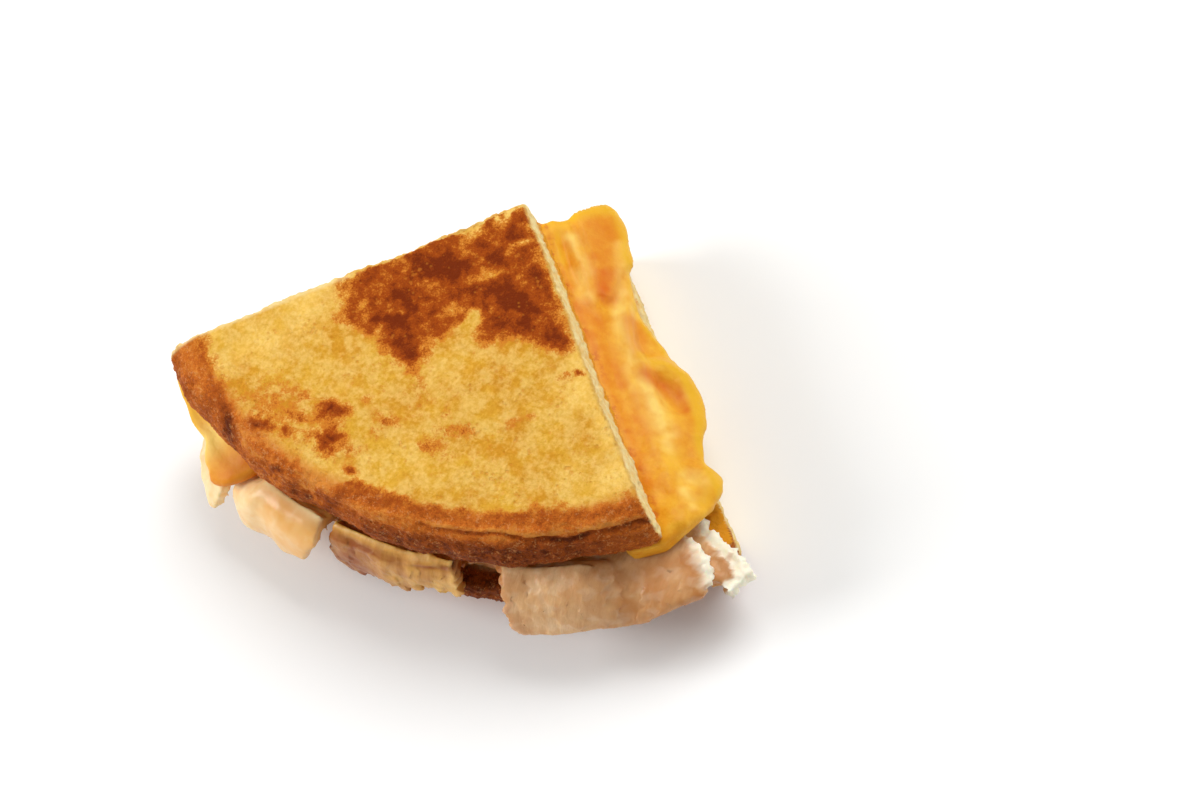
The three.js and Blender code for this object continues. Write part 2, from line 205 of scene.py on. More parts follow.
def normalsOf(obj):
    normals = np.empty(len(obj.data.vertices) * 3)
    obj.data.vertices.foreach_get("normal", normals)
    return normals.reshape(-1, 3)


def setPoints(obj, points):
    obj.data.vertices.foreach_set("co", (points * mm).ravel())
    obj.data.update()


# masks stored on the mesh for the material to read
def paint(obj, **masks):
    for name, values in masks.items():
        layer = obj.data.attributes.new(name, "FLOAT", "POINT")
        layer.data.foreach_set("value", np.clip(values, 0, 2).astype(np.float32))


def finishPiece(obj, material, node):
    obj.data.materials.clear()
    obj.data.materials.append(material)
    obj.data.shade_smooth()
    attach(obj, "root")
    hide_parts(node)
    print(f"{obj.name}: {len(obj.data.polygons)} faces")


# Materials
perMm = 1000   # texture scale for one feature a millimetre


def tone(red, green, blue):
    channels = [c / 255 for c in (red, green, blue)]
    return (*[c / 12.92 if c <= 0.04045 else ((c + 0.055) / 1.055) ** 2.4 for c in channels], 1)


def grey(value):
    return (value, value, value, 1)


def plug(tree, socket, value):
    if isinstance(value, bpy.types.NodeSocket):
        tree.links.new(value, socket)
    else:
        socket.default_value = value


def addNode(tree, kind, inputs, **settings):
    node = tree.nodes.new(kind)
    for name, value in settings.items():
        setattr(node, name, value)
    for name, value in inputs.items():
        plug(tree, node.inputs[name], value)
    return node


def calculate(tree, operation, *values):
    node = addNode(tree, "ShaderNodeMath", dict(enumerate(values)), operation=operation)
    return node.outputs[0]


def mixTones(tree, factor, first, second, blend="MIX"):
    inputs = {0: factor, 6: first, 7: second}
    return addNode(tree, "ShaderNodeMix", inputs, data_type="RGBA", blend_type=blend).outputs[2]


def rescale(tree, value, fromMin, fromMax, toMin=0.0, toMax=1.0):
    inputs = {"Value": value, "From Min": fromMin, "From Max": fromMax, "To Min": toMin, "To Max": toMax}
    return addNode(tree, "ShaderNodeMapRange", inputs, interpolation_type="SMOOTHSTEP").outputs[0]


def noiseNode(tree, vector, scale, detail=4.0, rough=0.55):
    inputs = {"Vector": vector, "Scale": scale, "Detail": detail, "Roughness": rough}
    return addNode(tree, "ShaderNodeTexNoise", inputs).outputs["Fac"]


def painted(tree, name):
    return addNode(tree, "ShaderNodeAttribute", {}, attribute_name=name).outputs["Fac"]


def startGroup(name, inputs, outputs):
    tree = bpy.data.node_groups.new(name, "ShaderNodeTree")
    for label, kind in inputs.items():
        tree.interface.new_socket(label, in_out="INPUT", socket_type="NodeSocket" + kind)
    for label, kind in outputs.items():
        tree.interface.new_socket(label, in_out="OUTPUT", socket_type="NodeSocket" + kind)
    return tree, tree.nodes.new("NodeGroupInput").outputs, tree.nodes.new("NodeGroupOutput").inputs


def useGroup(tree, group, inputs):
    return addNode(tree, "ShaderNodeGroup", inputs, node_tree=group).outputs


# Browning: an amount from 0 to 1 becomes pale, golden, brown and dark, broken up by coarse and fine grain.
def browningGroup():
    tree, given, out = startGroup(
        "browning",
        {"Vector": "Vector", "Amount": "Float", "Grain": "Float", "Ragged": "Float",
         "Pale": "Color", "Golden": "Color", "Brown": "Color", "Dark": "Color"},
        {"Color": "Color"})
    coarse = noiseNode(tree, given["Vector"], given["Grain"], 3.0, 0.6)
    fineScale = calculate(tree, "MULTIPLY", given["Grain"], 3.6)
    finer = noiseNode(tree, given["Vector"], fineScale, 3.0, 0.7)
    wander = calculate(tree, "SUBTRACT", calculate(tree, "ADD", coarse, finer), 1.0)
    held = rescale(tree, given["Amount"], 0.0, 0.3, 0.25, 1.0)
    shift = calculate(tree, "MULTIPLY", calculate(tree, "MULTIPLY", wander, given["Ragged"]), held)
    amount = calculate(tree, "ADD", given["Amount"], shift)
    colour = mixTones(tree, rescale(tree, amount, 0.08, 0.34), given["Pale"], given["Golden"])
    colour = mixTones(tree, rescale(tree, amount, 0.32, 0.6), colour, given["Brown"])
    colour = mixTones(tree, rescale(tree, amount, 0.58, 1.05), colour, given["Dark"])
    plug(tree, out["Color"], colour)
    return tree


# Pores: small round pits or specks, fewer where a broad noise is low.
def poresGroup():
    tree, given, out = startGroup(
        "pores",
        {"Vector": "Vector", "Scale": "Float", "Spread": "Float"},
        {"Pit": "Float", "Height": "Float"})
    inputs = {"Vector": given["Vector"], "Scale": given["Scale"], "Randomness": 1.0}
    cell = addNode(tree, "ShaderNodeTexVoronoi", inputs)
    broad = noiseNode(tree, given["Vector"], calculate(tree, "MULTIPLY", given["Scale"], 0.3), 2.0)
    size = calculate(tree, "MULTIPLY", rescale(tree, broad, 0.35, 0.75), given["Spread"])
    edge = calculate(tree, "SUBTRACT", size, cell.outputs["Distance"])
    pit = rescale(tree, edge, 0.0, 0.25)
    plug(tree, out["Pit"], pit)
    plug(tree, out["Height"], calculate(tree, "SUBTRACT", 1.0, pit))
    return tree


# Mottle: two tones in soft clouds with a little fine grain.
def mottleGroup():
    tree, given, out = startGroup(
        "mottle",
        {"Vector": "Vector", "Scale": "Float", "Contrast": "Float", "First": "Color", "Second": "Color"},
        {"Color": "Color", "Mask": "Float"})
    cloud = noiseNode(tree, given["Vector"], given["Scale"], 5.0, 0.6)
    spread = calculate(tree, "DIVIDE", 0.25, given["Contrast"])
    low = calculate(tree, "SUBTRACT", 0.5, spread)
    high = calculate(tree, "ADD", 0.5, spread)
    mask = rescale(tree, cloud, low, high)
    plug(tree, out["Mask"], mask)
    plug(tree, out["Color"], mixTones(tree, mask, given["First"], given["Second"]))
    return tree


# Grain: fine relief as a height, stretched by the vector it is given.
def grainGroup():
    tree, given, out = startGroup(
        "grain",
        {"Vector": "Vector", "Scale": "Float", "Sharpness": "Float"},
        {"Height": "Float", "Glint": "Float"})
    fine = noiseNode(tree, given["Vector"], given["Scale"], 4.0, 0.7)
    plug(tree, out["Height"], calculate(tree, "POWER", fine, given["Sharpness"]))
    plug(tree, out["Glint"], rescale(tree, fine, 0.5, 0.72))
    return tree


browning, pores, mottle, grain = browningGroup(), poresGroup(), mottleGroup(), grainGroup()


def startMaterial(name):
    material = bpy.data.materials.new(name)
    material.use_nodes = True
    tree = material.node_tree
    place = tree.nodes.new("ShaderNodeTexCoord").outputs["Object"]
    print(f"material {name}")
    return material, tree, tree.nodes["Principled BSDF"], place


def addBump(tree, height, distance, strength=1.0, normal=None):
    inputs = {"Height": height, "Distance": distance * mm, "Strength": strength}
    if normal is not None:
        inputs["Normal"] = normal
    return addNode(tree, "ShaderNodeBump", inputs).outputs["Normal"]


def stretched(tree, vector, scales):
    return addNode(tree, "ShaderNodeMapping", {"Vector": vector, "Scale": scales}).outputs["Vector"]


def setSockets(shader, values):
    for name, value in values.items():
        shader.inputs[name].default_value = value


def mottled(tree, vector, scale, contrast, first, second):
    inputs = {"Vector": vector, "Scale": scale * perMm, "Contrast": contrast}
    return useGroup(tree, mottle, {**inputs, "First": first, "Second": second})


def browned(tree, vector, amount, scale, ragged, tones):
    inputs = {"Vector": vector, "Amount": amount, "Grain": scale * perMm, "Ragged": ragged}
    inputs.update(zip(("Pale", "Golden", "Brown", "Dark"), tones))
    return useGroup(tree, browning, inputs)["Color"]


toastLook = {
    # the grilled face; light is a painted glow towards the cuts
    "tan": tone(214, 148, 38), "pale": tone(228, 176, 58), "cream": tone(242, 202, 110),
    "light": tone(252, 208, 104), "grainDark": (0.95, 0.88, 0.7, 1), "grainLight": (1.08, 1.1, 1.25, 1),
    "golden": tone(216, 130, 40), "brown": tone(170, 76, 14), "dark": tone(124, 46, 8),
    # the crust
    "crustGold": tone(224, 142, 58), "crustOrange": tone(204, 108, 32),
    "crustBrown": tone(168, 80, 20), "crustDark": tone(98, 38, 8), "crustSpeckAndGlint": tone(230, 166, 104),
    # the fresh crumb, and melted cheese smeared on it
    "crumb": tone(255, 232, 170), "crumbShade": tone(248, 208, 130), "smear": tone(238, 162, 40),
    # features a millimetre
    "scales": {"broad": 0.11, "patchy": 0.3, "fine": 1.2, "face": 0.8, "pits": 0.9, "side": 1.3,
               "specks": 2.3, "crumb": 0.5, "butter": 0.3, "crackle": 1.9},
}


# the grilled face: clouds of tan and cream under fine grain, then browned and pitted
def grilledFace(tree, place, brown, look):
    scales = look["scales"]
    broad = mottled(tree, place, scales["broad"], 1.3, look["tan"], look["pale"])
    # painted glow towards the cuts
    base = mixTones(tree, painted(tree, "light"), broad["Color"], look["light"])
    patchy = mottled(tree, place, scales["patchy"], 2.0, grey(0), grey(1))
    base = mixTones(tree, calculate(tree, "MULTIPLY", patchy["Mask"], 0.6), base, look["cream"])
    fine = mottled(tree, place, scales["fine"], 1.3, look["grainDark"], look["grainLight"])
    pale = mixTones(tree, 1.0, base, fine["Color"], "MULTIPLY")
    tones = (pale, look["golden"], look["brown"], look["dark"])
    face = browned(tree, place, brown, scales["face"], 0.9, tones)
    pits = useGroup(tree, pores, {"Vector": place, "Scale": scales["pits"] * perMm, "Spread": 0.5})
    return mixTones(tree, calculate(tree, "MULTIPLY", pits["Pit"], 0.4), face, look["golden"]), pits["Height"]


def speckledCrust(tree, place, brown, look):
    scales = look["scales"]
    tones = (look["crustGold"], look["crustOrange"], look["crustBrown"], look["crustDark"])
    side = browned(tree, place, brown, scales["side"], 0.75, tones)
    # pale specks on the crust: crumbs, and painted glints
    specks = useGroup(tree, pores, {"Vector": place, "Scale": scales["specks"] * perMm, "Spread": 0.75})
    return mixTones(tree, calculate(tree, "MULTIPLY", specks["Pit"], 0.34), side, look["crustSpeckAndGlint"])


def toastMaterial(name, look):
    material, tree, shader, place = startMaterial(name)
    brown, crumb, crust, smear = [painted(tree, name) for name in ("brown", "crumb", "crust", "smear")]
    scales = look["scales"]
    face, pitHeight = grilledFace(tree, place, brown, look)
    fresh = mottled(tree, place, scales["crumb"], 1.5, look["crumb"], look["crumbShade"])
    colour = mixTones(tree, crust, face, speckledCrust(tree, place, brown, look))
    colour = mixTones(tree, crumb, colour, fresh["Color"])
    colour = mixTones(tree, smear, colour, look["smear"])
    plug(tree, shader.inputs["Base Color"], colour)

    buttery = mottled(tree, place, scales["butter"], 1.0, grey(0.66), grey(0.5))
    rough = mixTones(tree, crumb, buttery["Color"], grey(0.9))
    rough = mixTones(tree, smear, rough, grey(0.35))
    plug(tree, shader.inputs["Roughness"], rough)
    crackle = useGroup(tree, grain, {"Vector": place, "Scale": scales["crackle"] * perMm, "Sharpness": 1.6})
    glints = calculate(tree, "MULTIPLY", crackle["Glint"], calculate(tree, "MULTIPLY", crust, 0.14))
    plug(tree, shader.inputs["Coat Weight"], glints)
    normal = addBump(tree, crackle["Height"], 0.5, 1.0)
    normal = addBump(tree, pitHeight, 0.2, 0.6, normal)
    plug(tree, shader.inputs["Normal"], normal)
    setSockets(shader, {"Coat Roughness": 0.4, "Specular IOR Level": 0.07, "Subsurface Weight": 0.1,
                        "Subsurface Radius": (1.0, 0.5, 0.2), "Subsurface Scale": 1.0 * mm})
    return material


cheeseLook = {
    # cream is a painted highlight on the ridges and the pale patch on the tongue, deep a painted shade, edge
    # a painted glow of lit rims
    "body": tone(228, 148, 14), "light": tone(242, 182, 48), "cream": tone(252, 214, 108),
    "deep": tone(218, 104, 0), "edge": tone(234, 178, 28), "crumbs": tone(212, 112, 22),
}


def cheeseMaterial(name, look):
    material, tree, shader, place = startMaterial(name)
    thin, hollow, pale = [painted(tree, name) for name in ("thin", "hollow", "pale")]
    cloud = mottled(tree, place, 0.25, 1.3, look["body"], look["light"])
    # painted highlight along the ridges, in the cream tone; also a cream patch on the tongue
    colour = mixTones(tree, pale, cloud["Color"], look["cream"])
    # painted shade in the hollows and on the shaded sides, in the deep tone
    colour = mixTones(tree, hollow, colour, look["deep"])
    # painted glow and highlight on thin, lit rims, in the edge tone
    colour = mixTones(tree, thin, colour, look["edge"])
    bits = mottled(tree, place, 0.8, 3.0, grey(0), grey(1))
    strewn = calculate(tree, "MULTIPLY", bits["Mask"], painted(tree, "crumbs"))
    plug(tree, shader.inputs["Base Color"], mixTones(tree, strewn, colour, look["crumbs"]))
    wet = mottled(tree, place, 0.2, 0.8, grey(0.42), grey(0.55))
    plug(tree, shader.inputs["Roughness"], wet["Color"])
    skin = useGroup(tree, grain, {"Vector": place, "Scale": 0.6 * perMm, "Sharpness": 1.0})
    plug(tree, shader.inputs["Normal"], addBump(tree, skin["Height"], 0.5, 0.5))
    setSockets(shader, {"Specular IOR Level": 0.25, "Subsurface Weight": 0.12,
                        "Subsurface Radius": (1.0, 0.7, 0.3), "Subsurface Scale": 1.2 * mm})
    return material


turkeyLooks = {
    # shade is a darker tone, used as painted shade and as browned meat
    "cream": {"meat": tone(254, 224, 168), "shade": tone(236, 176, 92), "torn": tone(254, 240, 208),
              "streaks": 0.08, "gloss": 0.4, "relief": 0.08},
    "roast": {"meat": tone(242, 202, 148), "shade": tone(190, 124, 64), "torn": tone(255, 246, 222),
              "streaks": 0.3, "gloss": 0.1, "relief": 0.5},
    "shreds": {"meat": tone(250, 194, 96), "shade": tone(156, 80, 14), "torn": tone(250, 214, 150),
               "streaks": 0.25, "gloss": 0.2, "relief": 0.4},
}


def turkeyMaterial(name, look):
    material, tree, shader, place = startMaterial(name)
    torn = painted(tree, "torn")
    between = mixTones(tree, 0.35, look["meat"], look["shade"])
    cloud = mottled(tree, place, 0.35, 1.3, look["meat"], between)
    fibres = stretched(tree, place, (1.0, 0.3, 0.2))
    strand = mottled(tree, fibres, 0.8, 1.6, look["meat"], look["shade"])
    colour = mixTones(tree, look["streaks"], cloud["Color"], strand["Color"])
    # the darker tone: painted shade, and browned meat
    colour = mixTones(tree, painted(tree, "deep"), colour, look["shade"])
    plug(tree, shader.inputs["Base Color"], mixTones(tree, torn, colour, look["torn"]))
    wet = mottled(tree, place, 0.35, 1.0, grey(0.3), grey(0.55))
    plug(tree, shader.inputs["Roughness"], mixTones(tree, torn, wet["Color"], grey(0.65)))
    skin = useGroup(tree, grain, {"Vector": fibres, "Scale": 1.2 * perMm, "Sharpness": 1.2})
    plug(tree, shader.inputs["Normal"], addBump(tree, skin["Height"], 0.35, look["relief"]))
    setSockets(shader, {"Specular IOR Level": 0.3, "Subsurface Weight": 0.35,
                        "Subsurface Radius": (1.0, 0.55, 0.3), "Subsurface Scale": 2.0 * mm,
                        "Coat Weight": look["gloss"], "Coat Roughness": 0.25})
    return material


# Bread. Sides of a slice from its fresh inner face (0) to its grilled face (1):
# share of the thickness, inset at the crust, inset at the cuts.
slices = {
    "sides": [(0, 1.0, 0.3), (0.07, 0.3, 0), (0.36, 0, 0.2), (0.5, 0.5, 0.3), (0.58, 0.6, 0.35),
              (0.76, 1.65, 0.4), (0.9, 3.75, 0.5), (0.97, 5.7, 0.7), (1, 7.5, 1.1)],
    "voxel": 0.4,
    "crumbSize": 1.5,     # the holes in the cut faces
    "crumbDepth": 0.42,
    "crumbLumps": 0.22,
    "waves": 0.32,        # slow waves of the grilled face, the ripples on them and the pits in it
    "ripples": 0.09,
    "pits": 0.2,
    "wrinkles": 0.16,     # of the crust, and its grain
    "grain": 0.17,
    "creaseDepth": 0.45,  # of the crease round the front crust, and the lip above it
    "creaseLip": 0.2,
    # angle, width of the browned ring
    "ring": [(-46, 9.5), (-40, 8.8), (-35, 8), (-31, 6.5), (-28, 3.6), (-20, 2.6), (-12, 3), (-8, 4.6),
             (-4, 7.8), (0, 8.6), (15, 8.2), (30, 8), (46, 6.6)],
}

topSlice = {
    "node": "bread_top", "bulge": 0, "smearThickness": 0,
    "clinging": [(0, 0.4), (20, 0.36), (40, 0.22), (70, 0.08)],   # distance from the tip, share of the height
    # angle, how far the lower part of the crust draws in
    "undercut": [(-40, 0), (-30, 0.5), (-20, 1), (-11, 2), (0, 1.9), (14, 1.2), (46, 1)],
    "patchReach": [(-46, 38), (-38, 38), (-31, 38), (-22, 37), (-15, 36), (-8, 35.5), (-3, 31),
                   (3, 26), (14, 28), (26, 28.5), (35, 29), (46, 29)],   # angle, distance from the tip
    "crease": [(0, 4.2), (20, 3.6), (30, 2.7), (46, 2.4)],                 # angle, distance in from the crust
    # x and y from the tip, half length, half width, turn in degrees, strength
    "spots": [
        (-14.2, -50.6, 3, 1.3, 15, 0.55), (-12.4, -55.2, 2.6, 1.5, 30, 0.55), (-19.1, -50, 3, 1, 0, 0.35),
        (-6.3, -60.2, 1.5, 1, 0, 0.5), (-15.5, -34.1, 1.5, 1.2, 0, 0.55), (-13.5, -30.4, 3.4, 0.9, 35, 0.6),
        (-6.5, -34.8, 4, 2, 10, 0.42), (-3.3, -38.4, 1.6, 2.6, 30, 0.2), (-0.6, -42.3, 1.4, 2, 30, 0.1),
        (18.1, -24.1, 1.6, 1, 30, 0.5), (19.5, -22.7, 1.2, 0.9, 0, 0.4), (23.3, -29, 1.5, 0.7, 40, 0.45),
        (25.5, -27.6, 1, 0.6, 0, 0.35), (-33.4, -60.4, 3, 1.6, 25, 0.95),
        (-49.5, -52.8, 3.4, 1.3, -35, 0.5), (-45, -55.4, 3.4, 1.3, -30, 0.55),
        (-39.6, -58.2, 3.4, 1.4, -26, 0.6), (-27.5, -58.4, 3.4, 1.1, 8, 0.6),
        (-21.5, -57.6, 3.2, 1.1, 5, 0.55), (-35.4, -57.4, 3.4, 2, 55, 0.6), (-26, -55, 9, 4.5, 20, 0.16),
        (-15, -54, 8, 4, 10, 0.14), (-22, -62, 8, 3, 20, 0.1), (-10, -57.5, 4, 1.6, 20, 0.25),
        (-19, -54, 3, 1.6, 20, 0.2), (-3.2, -48.7, 2.4, 1, 10, 0.3), (9, -45.8, 3.6, 1.4, 15, 0.22),
        (19.3, -39.9, 2.8, 1.2, 40, 0.22), (6, -50.3, 3.4, 1.2, 10, 0.22), (5.7, -44.1, 1, 0.7, 0, 0.24),
        (-10, -46.9, 1.2, 0.8, 0, 0.22), (-6.7, -17.5, 5, 3, 40, 0.25), (8.5, -20.5, 6, 5, 30, 0.25),
        (-12.5, -26.5, 5.5, 3.5, 30, 0.2), (2.5, -11.3, 3.2, 2, 0, 0.2),
        # paler places inside the browned patch
        (-0.2, -16.9, 4.6, 1.1, 37, -0.5), (-3, -24.6, 2.2, 1.5, 30, -0.45),
        (-8.8, -22.6, 1.6, 1.2, 0, -0.35), (1.8, -25, 2, 1.4, 20, -0.35), (3.2, -8.4, 2.6, 0.8, 35, -0.4),
        (9.4, -10.3, 1.8, 1, -45, -0.3), (14, -14.6, 2.2, 1, -45, -0.35),
        (17.8, -18.4, 2.2, 1.1, -45, -0.35), (-6.5, -10.2, 1.8, 1.2, 45, -0.4),
        (-4.5, -32, 3, 1.3, 25, -0.35)],
}

bottomSlice = {
    "node": "bread_bottom", "bulge": 6, "smearThickness": 0.4,
    "undercut": [(-46, 0), (46, 0)],
    "patchReach": [(-46, 22), (-20, 26), (0, 30), (20, 24), (46, 20)],
    "spots": [(-14, -46, 6, 3, 20, 0.5), (12, -44, 8, 3, -20, 0.4), (0, -56, 9, 3, 0, 0.4),
              (26, -48, 5, 3, 40, 0.5), (-30, -50, 6, 3, -30, 0.4), (4, -24, 4, 2, 30, -0.4)],
    # melted cheese on the ledge: distance from the tip along the right cut, width in from that cut
    "smear": [(48, 0), (56, 6), (70, 6), (76, 4)],
}


# outline of a slice at one height; drawn is how much of the undercut it has there
def sliceOutline(values, tip, crustInset, cutInset, drawn, seed):
    half = plan["halfAngle"]
    innerTip = tip + heading(0) * cutInset / math.sin(math.radians(half))
    widest = half - math.degrees(cutInset / plan["crustMiddle"])
    angle = np.linspace(-widest, widest, 300)
    corner = np.maximum(0, 1 - (widest - abs(angle)) / plan["cornerSpan"])
    wander = 0.3 * np.sin(angle * 0.31 + seed) + 0.16 * np.sin(angle * 0.83 + 2 * seed)
    distance = crustDistance(angle, values["bulge"]) - crustInset - plan["cornerRounding"] * corner ** 2
    distance += wander
    distance -= drawn * through(values["undercut"], angle)
    crust = tip + heading(angle) * distance[:, None]
    share = np.linspace(0, 1, 160, endpoint=False)[1:, None]
    left = innerTip + (crust[0] - innerTip) * share
    left += outOfLeft * (0.22 * np.sin(share * 11 + seed) + 0.12 * np.sin(share * 29))
    right = crust[-1] + (innerTip - crust[-1]) * share
    right += outOfRight * (0.2 * np.sin(share * 9 + seed) + 0.12 * np.sin(share * 31 + 1))
    return np.concatenate([[innerTip], left, crust, right])


def sliceBody(values, tip, low, high, grilledUp, seed):
    sides = np.array(slices["sides"])
    shares = np.unique(np.concatenate([np.linspace(0, 1, 34), sides[:, 0]]))
    rings = []
    for share in shares:
        crustInset = np.interp(share, sides[:, 0], sides[:, 1])
        cutInset = np.interp(share, sides[:, 0], sides[:, 2])
        ring = sliceOutline(values, tip, crustInset, cutInset, smooth(share, 0.95, 0.7), seed)
        height = low + (high - low) * (share if grilledUp else 1 - share)
        rings.append(np.column_stack([ring, np.full(len(ring), height)]))
    middle = tip + heading(0) * plan["crustMiddle"] * 0.55

    def drawnIn(ring, share):
        return np.column_stack([middle + (ring[:, :2] - middle) * share, ring[:, 2]])

    inner = [drawnIn(rings[0], share) for share in (0.3, 0.6, 0.85)]
    grilled = [drawnIn(rings[-1], share) for share in (0.85, 0.6, 0.3)]
    rings = inner + rings + grilled
    return skinFromRings(rings if grilledUp else rings[::-1])


# how browned the grilled face is, before the material breaks it up with its own grain
def faceBrowning(points, at, values):
    wobble = 2.4 * roughness(points, 6, 4, 3)
    reach = through(values["patchReach"], at["angle"]) + wobble
    inside = smooth(reach - at["distance"], -4.6, 4.2)
    clouds = roughness(points, 3.0, 4, 5)
    brown = inside * (0.7 + 0.22 * clouds)
    brown -= inside * 0.3 * smooth(at["inLeft"], 5, 0.5)
    brown -= inside * 0.16 * smooth(at["inRight"], 3, 0.5)
    brown -= 0.6 * inside * smooth(at["inLeft"], 2.4, 1) * smooth(roughness(points, 1.5, 3, 17), -0.1, 0.5)
    brown += 0.1 * smooth(roughness(points, 9, 3, 15), 0.1, 0.7)
    for x, y, length, width, turn, strength in values["spots"]:
        away = at["arm"] - (x, y)
        cosine, sine = math.cos(math.radians(turn)), math.sin(math.radians(turn))
        lengthways = (away[:, 0] * cosine + away[:, 1] * sine) / length
        across = (away[:, 1] * cosine - away[:, 0] * sine) / width
        fade = np.exp(-(lengthways * lengthways + across * across) * 0.9)
        brown += strength * fade * (1 + 0.7 * clouds)
    return np.clip(brown, 0, 1.1)


# how browned the crust is: it starts on the face, darkens, is lighter on the shoulder and dark below it
def crustBrowning(points, at):
    ring = through(slices["ring"], at["angle"])
    inward = ring - at["inCrust"] + 1.0 * roughness(points, 4, 3, 8)
    front = smooth(at["angle"], -16, 6)
    right = smooth(at["angle"], 32, 44)
    brown = (0.3 + 0.04 * front - 0.04 * right) * smooth(inward, -1.4, 1.8)
    brown += (0.15 + 0.08 * bump(at["angle"], 0, 20)) * bump(inward, 1.9, 2.2)
    brown -= 0.1 * bump(inward, 5.2, 2.0)
    below = 0.12 + 0.38 * front - 0.24 * right - 0.16 * bump(at["angle"], -21, 11)
    brown += below * smooth(at["height"], 0.84, 0.64) * (inward > 0)
    shoulder = bump(at["inCrust"], 3.6, 5) * bump(at["angle"], -17, 13)
    brown += shoulder * (0.26 + 0.26 * roughness(points, 1.8, 4, 33))
    brown += 0.09 * roughness(points, 2.2, 4, 12) * smooth(inward, 0, 2)
    return brown


# shares of fresh crumb, crust and grilled face at each point, and of the right cut alone
def sliceParts(normals, at):
    onLeft = smooth(normals[:, :2] @ outOfLeft, 0.15, 0.55) * smooth(at["inLeft"], 2.6, 1.4)
    onRight = smooth(normals[:, :2] @ outOfRight, 0.5, 0.85) * smooth(at["inRight"], 2.6, 1.6)
    inner = smooth(at["upward"], -0.4, -0.75) * smooth(at["inCrust"], 3.5, 6.5)
    crumb = np.maximum(np.maximum(onLeft, onRight), inner)
    side = smooth(at["inCrust"], 8.4, 5) * (1 - crumb)
    return crumb, side, (1 - crumb) * (1 - side), onRight


# how far a slice's surface stands out: holes in the crumb, waves and pits on the face, wrinkles on the crust
def sliceRelief(points, crumb, side, grilled, seed):
    size = slices["crumbSize"]
    holes = cells(points, (size, size, size * 0.7), seed)
    small = cells(points, size * 0.45, seed + 3)
    gate = smooth(roughness(points, 4, 2, seed + 6), -0.2, 0.5)
    holeDepth = smooth(holes, 0.42, 0.12) * (0.3 + 0.9 * gate) + 0.45 * smooth(small, 0.4, 0.1)
    lumps = slices["crumbLumps"] * roughness(points, 1.3, 3, seed + 1)
    crumbLift = lumps - slices["crumbDepth"] * holeDepth
    ripples = slices["ripples"] * roughness(points, 3.2, 3, seed + 4)
    wavy = slices["waves"] * roughness(points, 16, 2, seed + 2) + ripples
    faceLift = wavy - slices["pits"] * smooth(small, 0.34, 0.08) * gate
    wrinkle = slices["wrinkles"] * roughness(points, (3.5, 3.5, 1.1), 3, seed + 5)
    sideLift = wrinkle + slices["grain"] * roughness(points, 0.9, 3, seed + 9) + 0.5 * wavy
    return crumb * crumbLift + grilled * faceLift + side * sideLift


# a crease round the front crust's shoulder, with a bright lip above it: relief, and painted shade in the
# crease with a painted highlight on the lip, given as browning
def creaseRound(values, at, side):
    present = smooth(at["angle"], 4, 15) * side * (at["height"] > 0.5)
    crease = through(values["crease"], at["angle"]) + 0.05 * np.sin(at["angle"] * 0.9)
    above = 1.25 * (at["inCrust"] - crease)
    relief = slices["creaseLip"] * bump(above, 0.9, 0.9) - slices["creaseDepth"] * bump(above, 0, 0.55)
    return present * relief, present * (0.34 * bump(above, -0.1, 0.5) - 0.16 * bump(above, 0.8, 0.6))


# melted cheese on the crumb: clinging to the foot of the right cut, or spread on the ledge inside it
def smearedCheese(values, points, at, onRight):
    if "clinging" in values:
        edge = through(values["clinging"], at["distance"]) + 0.1 * roughness(points, 5, 3, 22)
        return onRight * smooth(edge - at["height"], -0.03, 0.03) * smooth(at["distance"], 66, 63)
    width = through(values["smear"], at["arm"] @ alongRight) + 1.4 * roughness(points, 2.4, 3, 21)
    ledge = smooth(at["upward"], -0.6, -0.85)
    return ledge * smooth(width - at["inRight"], 0, 1) * (at["inRight"] > 0.35)


